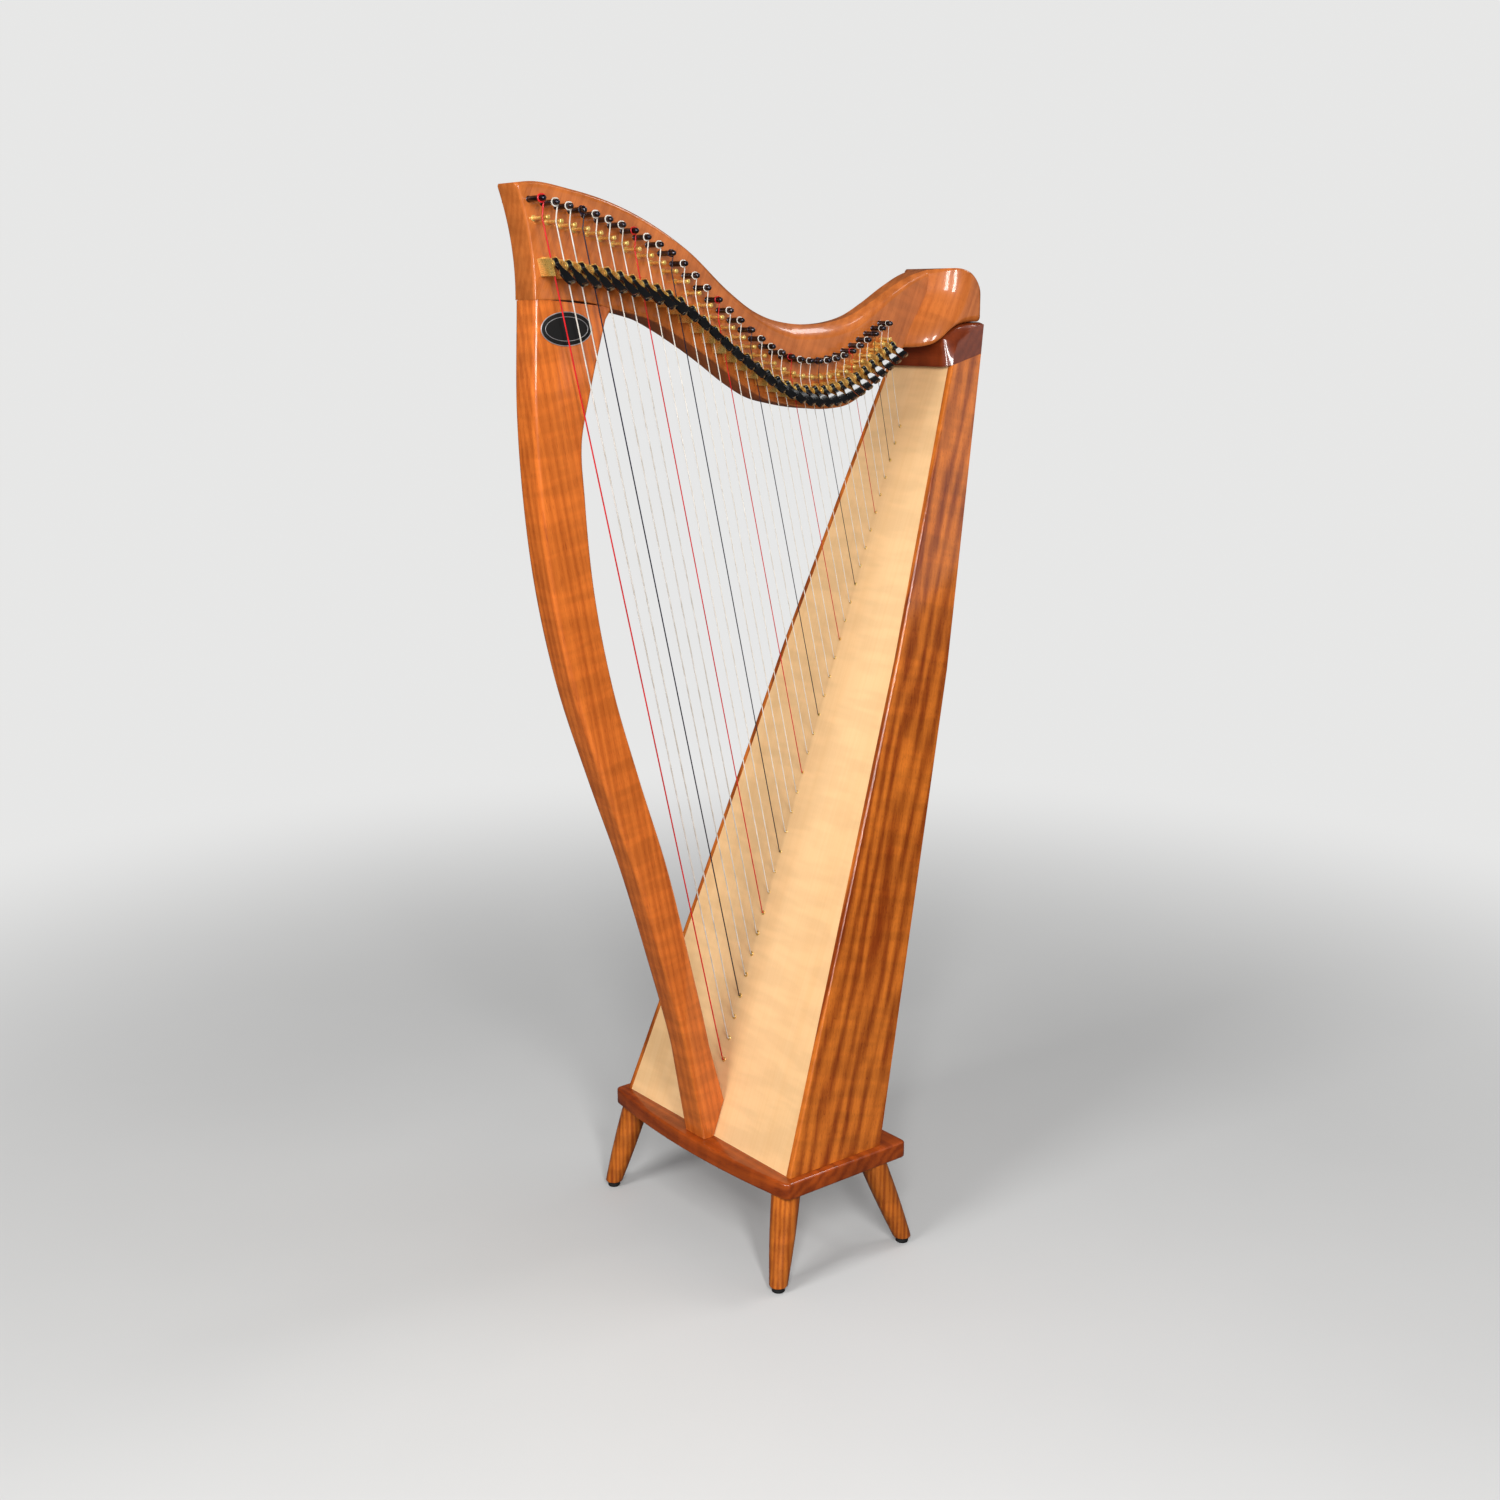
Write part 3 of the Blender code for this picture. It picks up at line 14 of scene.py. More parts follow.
import bmesh
import bpy
import numpy as np
from mathutils import Matrix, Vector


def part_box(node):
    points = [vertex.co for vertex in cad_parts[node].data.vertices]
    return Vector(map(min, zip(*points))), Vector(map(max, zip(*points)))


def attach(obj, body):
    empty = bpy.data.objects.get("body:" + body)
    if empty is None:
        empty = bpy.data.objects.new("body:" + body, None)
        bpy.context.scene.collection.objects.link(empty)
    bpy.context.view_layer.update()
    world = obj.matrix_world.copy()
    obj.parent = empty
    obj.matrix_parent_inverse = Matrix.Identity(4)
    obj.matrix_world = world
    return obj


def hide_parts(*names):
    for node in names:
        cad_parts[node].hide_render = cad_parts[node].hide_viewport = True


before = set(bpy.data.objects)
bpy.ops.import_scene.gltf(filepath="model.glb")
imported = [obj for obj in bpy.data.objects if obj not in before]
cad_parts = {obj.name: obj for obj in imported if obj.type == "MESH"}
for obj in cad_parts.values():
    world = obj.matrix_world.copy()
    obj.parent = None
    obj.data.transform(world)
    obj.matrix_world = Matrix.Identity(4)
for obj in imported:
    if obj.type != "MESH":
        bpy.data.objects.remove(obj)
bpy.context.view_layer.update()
LOG = logging.getLogger("harp")
Array = np.ndarray
Socket = bpy.types.NodeSocket
Triple = tuple[float, float, float]
BODY = "frame"
GAP = 0.0003
TAU = 2 * math.pi
NEAR = np.array([0.0, -1.0, 0.0])
LEVEL = np.array([1.0, 0.0, 1.0])


# Curves and grids


def smooth(t: Array) -> Array:
    """Ease from 0 to 1: 3t^2 - 2t^3 of t held between 0 and 1."""
    t = np.clip(t, 0.0, 1.0)
    return t * t * (3 - 2 * t)


def bell(t: Array) -> Array:
    """A raised cosine: 1 at 0, falling to 0 at 1 and -1."""
    return 0.5 * (1 + np.cos(math.pi * t))


def rounded(t: Array) -> Array:
    """Inset of a round edge: 1 - sqrt(1 - t^2) of t held between 0 and 1."""
    return 1 - np.sqrt(1 - np.clip(t, 0, 1)**2)


def quarter(count: int) -> tuple[Array, Array]:
    """The two insets of a quarter round, 1 - cos and 1 - sin, from 0 to 90 degrees."""
    a = np.linspace(0, math.pi / 2, count)
    return 1 - np.cos(a), 1 - np.sin(a)


def columns(*values: object) -> Array:
    """Values stretched to one shape and laid side by side in a last axis."""
    return np.stack(np.broadcast_arrays(*values), axis=-1)


def between(pair: tuple, share: Array) -> Array:
    """From the pair's first value at 0 to its second at 1."""
    return pair[0] + (pair[1] - pair[0]) * share


def through(knots: tuple, places: Array) -> Array:
    """A smooth curve through knots, by cubic Hermite spans with central slopes.

    Args:
        knots: (place, value) pairs in order of place.
        places: where the curve is read.

    Returns:
        The curve's values at the places.
    """
    x, y = np.transpose(knots)
    slope = np.gradient(y, x)
    t = np.clip(np.asarray(places, float), x[0], x[-1])
    i = np.clip(np.searchsorted(x, t, side="right") - 1, 0, len(x) - 2)
    h = x[i + 1] - x[i]
    u = (t - x[i]) / h
    return ((2 * u**3 - 3 * u**2 + 1) * y[i] + (u**3 - 2 * u**2 + u) * h * slope[i]
            + (3 * u**2 - 2 * u**3) * y[i + 1] + (u**3 - u**2) * h * slope[i + 1])


def bands(knots: tuple, places: Array) -> Array:
    """Straight runs between (place, value) knots."""
    return np.interp(places, *np.transpose(knots))


def unit(v: Array) -> Array:
    """Vectors along the last axis at length one."""
    return v / np.linalg.norm(v, axis=-1, keepdims=True)


def circle(sides: int, square: float = 0.0) -> Array:
    """A ring of unit points; square from 0 to 1 pushes it towards a rounded square.

    Args:
        sides: how many points.
        square: share of the way from the circle to the superellipse of power 8.

    Returns:
        Points of shape (sides, 2): (cos a, sin a) over the power mean of both.
    """
    a = TAU * (np.arange(sides) + 0.5) / sides
    points = columns(np.cos(a), np.sin(a))
    power = 2 + 6 * square
    return points * (np.abs(points)**power).sum(axis=1, keepdims=True)**(-1 / power)


def turned(centre: Array, axis: Array, side: Array, profile: Array, ring: Array) -> Array:
    """A profile turned round an axis: centre + along * axis + radius * ring.

    Args:
        centre: where the profile's along is zero.
        axis: unit direction of the axis.
        side: unit direction of the ring's first coordinate.
        profile: (along, radius) rows.
        ring: (sides, 2) points of the section at radius one.

    Returns:
        Grid of shape (rows, sides, 3).
    """
    axis, profile = np.asarray(axis, float), np.asarray(profile, float)
    flat = ring @ np.array([side, np.cross(axis, side)], float)
    return centre + profile[:, None, :1] * axis + profile[:, None, 1:] * flat


def swept(path: Array, radius: float, sides: int) -> Array:
    """A round section carried along a path, turned as little as it can be.

    The side vector of each step is the last one less its part along the path.

    Args:
        path: (n, 3) points.
        radius: the section's radius.
        sides: points of the section.

    Returns:
        Grid of shape (n, sides, 3).
    """
    runs = unit(np.diff(path, axis=0))
    side = np.cross(runs[0], (0.0, 0.0, 1.0))
    frames = []
    for tangent in unit(np.vstack([runs[:1], runs[:-1] + runs[1:], runs[-1:]])):
        side = unit(side - tangent * float(side @ tangent))
        frames.append((side, np.cross(tangent, side)))
    return path[:, None] + radius * (circle(sides) @ np.array(frames))


# The harp's own lines


@dataclass(frozen=True)
class Layout:
    """Driving lines: the plate's top, the soundboard's line, and the neck's line."""

    leg_height: float = 0.127
    plate_thickness: float = 0.0235
    plate_back: float = 0.197
    board_angle: float = math.radians(69.7)
    board_length: float = 1.102
    top_rise: float = 0.0324
    top_depth: float = 0.0457
    half_thick: float = 0.022
    column_height: float = 1.1195
    column_lean: float = 0.250
    bend_along: float = 0.694
    half_widths: tuple = ((0.0, 0.186), (0.694, 0.119), (1.102, 0.065))
    # the arched joint of column and neck: share of the neck's line, and rise over it
    joint: tuple = ((0.0, 0.0), (0.055, 0.0047), (0.10, 0.0070), (0.144, 0.0062),
                    (0.171, 0.0042))

    @property
    def origin(self) -> Array:
        """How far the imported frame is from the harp's own lines, read off the plate."""
        return np.array([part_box("base_plate")[1].x - self.plate_back, 0.0, 0.0])

    @property
    def plate_top(self) -> float:
        """Height that the column and soundbox stand at."""
        return self.leg_height + self.plate_thickness

    @property
    def along(self) -> Array:
        """(x, z) of the unit direction up the soundboard."""
        return np.array([math.cos(self.board_angle), math.sin(self.board_angle)])

    @property
    def into(self) -> Array:
        """Unit direction into the box, square to the soundboard."""
        return np.array([self.along[1], 0.0, -self.along[0]])

    @property
    def board_top(self) -> Array:
        """(x, z) where the soundboard's front ends."""
        return self.along * self.board_length + (0.0, self.plate_top)

    @property
    def joint_front(self) -> Array:
        """(x, z) where the column's front meets the neck."""
        return np.array([-self.column_lean, self.plate_top + self.column_height])

    @property
    def chord(self) -> Array:
        """(x, z) from the column's top to the soundboard's top."""
        return self.board_top - self.joint_front

    def in_box(self, s: Array, n: Array, y: Array) -> Array:
        """Points given along the soundboard, into the box and across it."""
        c, d = self.along
        return columns(s * c + n * d, y, self.plate_top + s * d - n * c)

    def half_width(self, s: Array) -> Array:
        """Half the soundbox's outer width along the soundboard."""
        return bands(self.half_widths, s)

    def foot_along(self, n: Array) -> Array:
        """Where a line at depth n meets the plate's top."""
        return n / math.tan(self.board_angle) + GAP / math.sin(self.board_angle)

    def on_neck(self, share: Array, rise: Array) -> Array:
        """(x, z) points over the line from the column's top to the soundboard's top."""
        share = np.asarray(share)[..., None]
        return self.joint_front + self.chord * share + columns(0.0, rise)

    def curve(self, knots: tuple, share: Array) -> Array:
        """(x, z) points of a smooth curve of (share, rise) knots over the neck's line."""
        return self.on_neck(share, through(knots, share))

    def share_of(self, x: Array) -> Array:
        """How far along the neck's line a place is."""
        return (x - self.joint_front[0]) / self.chord[0]


LINES = Layout()


# Shader nodes


@dataclass
class Board:
    """A node tree that nodes are added to and joined in."""

    tree: bpy.types.NodeTree

    def fill(self, node: bpy.types.Node, **inputs: object) -> None:
        """Link or set a node's inputs.

        Args:
            node: the node.
            inputs: socket name (with _ for a space), or in0, in1 for numbered sockets;
                a socket is linked, and anything else becomes its value.
        """
        for key, value in inputs.items():
            name = int(key[2:]) if key[:2] == "in" and key[2:].isdigit() else key.replace("_", " ")
            if isinstance(value, Socket):
                self.tree.links.new(value, node.inputs[name])
            else:
                node.inputs[name].default_value = value

    def add(self, kind: str, settings: dict | None = None, **inputs: object) -> bpy.types.Node:
        """Add a node.

        Args:
            kind: the node's type, less the word Shader that it starts with.
            settings: properties of the node.
            inputs: as for fill.

        Returns:
            The node.
        """
        node = self.tree.nodes.new(f"Shader{kind}")
        for key, value in (settings or {}).items():
            setattr(node, key, value)
        self.fill(node, **inputs)
        return node

    def noise(self, vector: Socket, scale: float | Socket, detail: float = 2.0) -> Socket:
        """Noise of about 0 to 1 over a vector."""
        return self.add("NodeTexNoise", Vector=vector, Scale=scale, Detail=detail,
                        Roughness=0.5).outputs["Fac"]

    def streaks(self, vector: Socket, scale: Triple, detail: float) -> Socket:
        """Noise over a vector with a scale for each axis."""
        return self.noise(self.vector("MULTIPLY", vector, scale), 1.0, detail)

    def ramp(self, value: Socket, low: float, high: float, to_low: float = 0.0,
             to_high: float = 1.0) -> Socket:
        """A smooth step of a value between two levels, held between two results."""
        return self.add("NodeMapRange", {"interpolation_type": "SMOOTHSTEP"}, Value=value,
                        From_Min=low, From_Max=high, To_Min=to_low, To_Max=to_high
                        ).outputs["Result"]

    def math(self, operation: str, a: object, b: object = 0.0) -> Socket:
        """One sum of two numbers or sockets."""
        return self.add("NodeMath", {"operation": operation}, in0=a, in1=b).outputs[0]

    def plus(self, a: object, b: object) -> Socket:
        """The sum of two numbers or sockets."""
        return self.math("ADD", a, b)

    def times(self, a: object, b: object) -> Socket:
        """The product of two numbers or sockets."""
        return self.math("MULTIPLY", a, b)

    def vector(self, operation: str, a: Socket, b: object) -> Socket:
        """One sum of two vectors."""
        return self.add("NodeVectorMath", {"operation": operation}, in0=a, in1=b).outputs[0]

    def mix(self, share: object, a: object, b: object) -> Socket:
        """Two colours mixed by a share."""
        return self.add("NodeMix", {"data_type": "RGBA"}, in0=share, in6=a, in7=b).outputs[2]


def new_group(name: str, inputs: dict, outputs: dict) -> tuple[Board, dict, bpy.types.Node]:
    """A shader node group with named sockets.

    Args:
        name: the group's name.
        inputs: socket name to (type, default).
        outputs: socket name to type.

    Returns:
        The group's board, what its input node gives out, and its output node.
    """
    tree = bpy.data.node_groups.new(name, "ShaderNodeTree")
    for key, (kind, value) in inputs.items():
        socket = tree.interface.new_socket(key, in_out="INPUT", socket_type=f"NodeSocket{kind}")
        if value is not None:
            socket.default_value = value
    for key, kind in outputs.items():
        tree.interface.new_socket(key, in_out="OUTPUT", socket_type=f"NodeSocket{kind}")
    nodes = tree.nodes
    return Board(tree), nodes.new("NodeGroupInput").outputs, nodes.new("NodeGroupOutput")


@cache
def timber_group() -> bpy.types.NodeTree:
    """Grain that runs along X: ribbon stripes, fine lines, open pores and a slow tint.

    A ribbon is a sine of the place across the grain, whose phase drifts with slow noise,
    added to noise that is drawn out along the grain.

    Returns:
        A group that puts out a colour, a roughness and a height.
    """
    board, get, end = new_group(
        "timber grain",
        {"Vector": ("Vector", None), "Light": ("Color", (1, 1, 1, 1)),
         "Dark": ("Color", (0, 0, 0, 1)), "Stripes": ("Float", 40.0),
         "Contrast": ("Float", 0.6), "Pores": ("Float", 0.4), "Figure": ("Float", 0.2)},
        {"Color": "Color", "Roughness": "Float", "Height": "Float"})
    place, plus, times = get["Vector"], board.plus, board.times
    wander = board.streaks(place, (0.8, 3.0, 3.0), 0.0)
    shift = board.add("NodeCombineXYZ", Y=times(wander, 0.030), Z=times(wander, 0.022))
    bent = board.vector("ADD", place, shift.outputs[0])
    split = board.add("NodeSeparateXYZ", in0=bent).outputs
    across = times(plus(split[1], split[2]), times(get["Stripes"], TAU))
    drift = times(board.streaks(bent, (0.35, 26.0, 26.0), 1.0), 12.0)
    wave = board.math("SINE", plus(across, drift))
    patch = board.noise(board.vector("MULTIPLY", bent, (0.020, 1.0, 1.0)), get["Stripes"])
    ribbon = board.ramp(plus(times(wave, 0.16), patch), 0.24, 0.82)
    lines = board.ramp(board.streaks(bent, (4.0, 310.0, 310.0), 2.0), 0.35, 0.7)
    pores = board.ramp(board.streaks(bent, (75.0, 1500.0, 1500.0), 1.0), 0.60, 0.72)
    tint = board.ramp(board.streaks(place, (4.0, 9.0, 9.0), 2.0), 0.3, 0.7)
    figure = board.ramp(board.streaks(place, (55.0, 12.0, 12.0), 2.0), 0.35, 0.65, -1.0, 1.0)
    depth = times(ribbon, get["Contrast"])
    for mask, share in ((lines, 0.16), (tint, 0.12), (pores, times(get["Pores"], 0.8))):
        depth = plus(depth, times(mask, share))
    plain = board.mix(board.math("MINIMUM", depth, 1.0), get["Light"], get["Dark"])
    lift = plus(times(figure, times(get["Figure"], 0.5)), 1.0)
    board.fill(end, Color=board.add("NodeHueSaturation", Value=lift, Color=plain).outputs[0],
               Roughness=plus(times(pores, 0.10), plus(times(lines, 0.05), 0.30)),
               Height=board.math("SUBTRACT", times(lines, 0.25), pores))
    return board.tree


@cache
def handling_group() -> bpy.types.NodeTree:
    """Small unevenness of a hard surface: slow tint, fine mottle and hair scratches.

    Returns:
        A group that puts out a tint mask, a roughness change and a height.
    """
    board, get, end = new_group(
        "handling marks", {"Vector": ("Vector", None)},
        {"Tint": "Float", "Roughness": "Float", "Height": "Float"})
    fine = board.noise(get["Vector"], 900.0)
    scratch = board.ramp(board.streaks(get["Vector"], (90.0, 90.0, 2600.0), 1.0), 0.66, 0.74)
    board.fill(end, Tint=board.ramp(board.noise(get["Vector"], 60.0, 3.0), 0.3, 0.7),
               Roughness=board.plus(board.times(fine, 0.12), board.times(scratch, 0.15)),
               Height=board.math("SUBTRACT", board.times(fine, 0.35), scratch))
    return board.tree


def blank(name: str) -> tuple[bpy.types.Material, Board, bpy.types.Node, Socket]:
    """A new material with its board, its shader and the object's coordinates."""
    finish = bpy.data.materials.new(name)
    finish.use_nodes = True
    board = Board(finish.node_tree)
    shader = finish.node_tree.nodes["Principled BSDF"]
    return finish, board, shader, board.add("NodeTexCoord").outputs["Object"]


def rgba(colour: Triple) -> tuple[float, float, float, float]:
    """A colour written as the screen shows it (0 to 1), as the shader's linear values."""
    return tuple(c / 12.92 if c <= 0.04045 else ((c + 0.055) / 1.055)**2.4 for c in colour) + (1.0,)


# Finishes


class Slot(Enum):
    """The record's material slots."""

    SAPELE = "sapele"
    BIRCH = "birch"
    LEVER = "lever_plastic"
    FOOT = "foot_rubber"
    ZINC = "zinc_steel"
    PLAQUE = "plaque_black"
    NYLON = "string_nylon"
    RED = "string_red"
    DARK = "string_dark"
    WOUND = "string_wound"
    BLUED = "blued_steel"
    BRASS = "brass"


@dataclass(frozen=True)
class Timber:
    """Lacquered wood whose grain runs in one direction.

    turn is the rotation that brings the grain onto X, as the Mapping node takes it.
    """

    name: str
    light: Triple
    dark: Triple
    turn: Triple
    offset: Triple = (0.0, 0.0, 0.0)
    stripes: float = 42.0
    contrast: float = 0.62
    pores: float = 0.45
    figure: float = 0.22
    coat: float = 0.85
    coat_rough: float = 0.09
    bump: float = 0.05
    slot: Slot = Slot.SAPELE

    @cache
    def material(self) -> bpy.types.Material:
        """Build the material once."""
        finish, board, shader, place = blank(self.name)
        mapped = board.add("NodeMapping", Vector=place, Rotation=self.turn, Location=self.offset)
        grain = board.add("NodeGroup", {"node_tree": timber_group()}, Vector=mapped.outputs[0],
                          Light=rgba(self.light), Dark=rgba(self.dark), Stripes=self.stripes,
                          Contrast=self.contrast, Pores=self.pores, Figure=self.figure).outputs
        bump = board.add("NodeBump", Strength=self.bump, Distance=0.0004, Height=grain["Height"])
        board.fill(shader, Base_Color=grain["Color"], Roughness=grain["Roughness"],
                   Normal=bump.outputs[0], Specular_IOR_Level=0.2, Coat_Weight=self.coat,
                   Coat_Roughness=self.coat_rough, Coat_IOR=1.5)
        return finish


@dataclass(frozen=True)
class Hard:
    """Metal, plastic, rubber or nylon with small handling marks.

    spread is how much they change the roughness, and wrap the pitch of a string's winding.
    """

    name: str
    slot: Slot
    light: Triple
    dark: Triple
    rough: float
    metallic: float = 0.0
    coat: float = 0.0
    bump: float = 0.04
    spread: float = 1.0
    wrap: float = 0.0

    @cache
    def material(self) -> bpy.types.Material:
        """Build the material once; a winding shows as fine rings along the string, with painted
        shade darkening the grooves between turns.
        """
        finish, board, shader, place = blank(self.name)
        marks = board.add("NodeGroup", {"node_tree": handling_group()}, Vector=place).outputs
        colour = board.mix(marks["Tint"], rgba(self.light), rgba(self.dark))
        height = marks["Height"]
        if self.wrap:
            run = board.add("NodeAttribute", {"attribute_name": "run"}).outputs["Fac"]
            turns = board.math("SINE", board.times(run, TAU / self.wrap))
            height = board.plus(height, board.times(turns, 2.0))
            # painted shade: the colour darkens toward the dark tone in each groove between the
            # winding's turns
            colour = board.mix(board.ramp(turns, -1.0, 0.0, 0.2, 0.0), colour, rgba(self.dark))
        bump = board.add("NodeBump", Strength=self.bump, Distance=0.0003, Height=height)
        rough = board.plus(board.times(marks["Roughness"], self.spread), self.rough)
        board.fill(shader, Base_Color=colour, Roughness=rough, Normal=bump.outputs[0],
                   Metallic=self.metallic, Coat_Weight=self.coat)
        return finish


def grain(degrees: float) -> Triple:
    """The turn for grain that runs up at an angle over +X."""
    return (0.0, math.radians(degrees), 0.0)


ACROSS = (0.0, 0.0, math.radians(-90))
ALONG_BOARD = math.degrees(LINES.board_angle)
ALONG_WALL = ALONG_BOARD + 5.4


class Finish(Enum):
    """Every finish of the harp, with its light and dark colours as the screen shows them."""

    COLUMN = Timber("sapele column", (0.85, 0.45, 0.17), (0.58, 0.24, 0.06), grain(101),
                    stripes=90, contrast=0.40)
    NECK = Timber("sapele neck", (0.75, 0.42, 0.19), (0.56, 0.26, 0.08), grain(66),
                  (0.3, 0.1, 0.7), stripes=70, contrast=0.30, coat=0.5)
    CAP = Timber("sapele cap", (0.50, 0.21, 0.09), (0.34, 0.11, 0.03), ACROSS, stripes=60,
                 contrast=0.4)
    SIDE = Timber("sapele side", (0.84, 0.46, 0.15), (0.50, 0.20, 0.04),
                  grain(ALONG_WALL), (0.0, 0.4, 0.2), stripes=46, contrast=0.78)
    BACK = Timber("sapele back", (0.76, 0.40, 0.12), (0.48, 0.20, 0.04), grain(ALONG_WALL),
                  (0.0, 0.9, 0.6), stripes=50)
    PLATE = Timber("sapele plate", (0.66, 0.29, 0.07), (0.42, 0.14, 0.02), ACROSS, stripes=44,
                   contrast=0.6)
    LEG = Timber("sapele leg", (0.80, 0.44, 0.14), (0.55, 0.24, 0.05), grain(90), stripes=110,
                 contrast=0.7)
    BIRCH = Timber("birch board", (0.95, 0.78, 0.57), (0.90, 0.70, 0.47), grain(ALONG_BOARD),
                   stripes=9, contrast=0.30, pores=0.08, figure=0.10, coat=0.4,
                   coat_rough=0.22, bump=0.02, slot=Slot.BIRCH)
    SPRUCE = Timber("spruce brace", (0.86, 0.73, 0.50), (0.72, 0.56, 0.34), ACROSS,
                    stripes=120, coat=0.0, slot=Slot.BIRCH)
    BRASS = Hard("brass", Slot.BRASS, (0.98, 0.84, 0.50), (0.90, 0.70, 0.34), 0.22, 0.6)
    BLUED = Hard("blued steel", Slot.BLUED, (0.36, 0.35, 0.38), (0.20, 0.20, 0.24), 0.24, 1.0)
    ZINC = Hard("zinc steel", Slot.ZINC, (0.66, 0.67, 0.69), (0.55, 0.56, 0.58), 0.35, 1.0)
    SILVER = Hard("silver rim", Slot.PLAQUE, (0.78, 0.77, 0.77), (0.62, 0.61, 0.62), 0.42, 0.6)
    BLACK = Hard("black plastic", Slot.LEVER, (0.055, 0.055, 0.06), (0.035, 0.035, 0.04), 0.10,
                 coat=1.0, bump=0.01, spread=0.4)
    PLAQUE = Hard("black plaque", Slot.PLAQUE, (0.04, 0.035, 0.035), (0.02, 0.02, 0.02), 0.45,
                  bump=0.01)
    RUBBER = Hard("rubber", Slot.FOOT, (0.10, 0.10, 0.10), (0.06, 0.06, 0.06), 0.75, bump=0.3)
    RED = Hard("red string", Slot.RED, (0.86, 0.10, 0.14), (0.74, 0.07, 0.10), 0.28)
    DARK = Hard("dark string", Slot.DARK, (0.13, 0.12, 0.20), (0.09, 0.08, 0.14), 0.28)
    NYLON = Hard("clear string", Slot.NYLON, (0.93, 0.91, 0.87), (0.86, 0.83, 0.78), 0.25)
    WOUND = Hard("wound string", Slot.WOUND, (0.88, 0.86, 0.83), (0.76, 0.73, 0.68), 0.3,
                 bump=0.15, wrap=0.0009)


# Pieces


def dress(item: bpy.types.Object, finish: Finish) -> None:
    """Give an object its finish."""
    item.data.materials.clear()
    item.data.materials.append(finish.value.material())


def new_object(name: str, data: bpy.types.ID) -> bpy.types.Object:
    """An object linked into the scene."""
    item = bpy.data.objects.new(name, data)
    bpy.context.scene.collection.objects.link(item)
    return item


@dataclass
class Surface:
    """Grids of points that are gathered before they become one object."""

    name: str
    points: list[Array] = field(default_factory=list)
    runs: list[Array] = field(default_factory=list)
    faces: list[list[int]] = field(default_factory=list)
    count: int = 0

    def strip(self, points: Array, faces: list[list[int]], run: Array | float = 0.0) -> None:
        """Add loose points with their own faces.

        Args:
            points: (n, 3) places in the harp's own lines.
            faces: corner numbers into these points.
            run: distance along the piece of each point, kept as an attribute.
        """
        self.faces += [[self.count + k for k in face] for face in faces]
        self.points.append(points)
        self.runs.append(np.broadcast_to(run, len(points)))
        self.count += len(points)

    def grid(self, points: Array, run: Array | float = 0.0, loop: bool = False) -> "Surface":
        """Add a grid as quads closed round its rows, and over its ends or onto its start.

        Args:
            points: (rows, sides, 3) places in the harp's own lines.
            run: distance along the piece of each row.
            loop: join the last row to the first, in place of a face over each end.

        Returns:
            This surface.
        """
        rows, sides = points.shape[:2]
        r, c = np.arange(rows - (not loop))[:, None], np.arange(sides)
        row, after, side = r * sides, (r + 1) % rows * sides, (c + 1) % sides
        quads = columns(row + c, row + side, after + side, after + c).reshape(-1, 4).tolist()
        caps = [] if loop else [c[::-1].tolist(), (c + (rows - 1) * sides).tolist()]
        self.strip(points.reshape(-1, 3), quads + caps,
                   np.repeat(np.broadcast_to(run, rows), sides))
        return self

    def make(self, finish: Finish, node: str = "", body: str = BODY, sharp: float = 35.0,
             bevel: float = 0.0, steps: int = 3) -> None:
        """Make the object, with its place in its mesh, and let it ride on its body.

        Args:
            finish: its finish.
            node: the node that it stands for, if any.
            body: the body that carries it.
            sharp: angle in degrees over which an edge stays crisp.
            bevel: width of a rounding on all crisp edges, or 0 for none.
            steps: faces across that rounding.
        """
        mesh = bpy.data.meshes.new(self.name)
        mesh.from_pydata((np.vstack(self.points) + LINES.origin).tolist(), [], self.faces)
        work = bmesh.new()
        work.from_mesh(mesh)
        bmesh.ops.recalc_face_normals(work, faces=work.faces)
        work.to_mesh(mesh)
        work.free()
        run = mesh.attributes.new("run", "FLOAT", "POINT")
        run.data.foreach_set("value", np.concatenate(self.runs).astype(np.float32))
        mesh.shade_smooth()
        mesh.set_sharp_from_angle(angle=math.radians(sharp))
        item = new_object(self.name, mesh)
        if bevel:
            round_off = item.modifiers.new("eased edges", "BEVEL")
            round_off.width = bevel
            round_off.segments = steps
            round_off.limit_method = "ANGLE"
            round_off.angle_limit = math.radians(sharp)
            round_off.harden_normals = True
        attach(item, body)
        dress(item, finish)
        if node:
            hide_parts(node)
        LOG.info("%s: %d points, %d faces", self.name, len(mesh.vertices), len(mesh.polygons))


# Stand


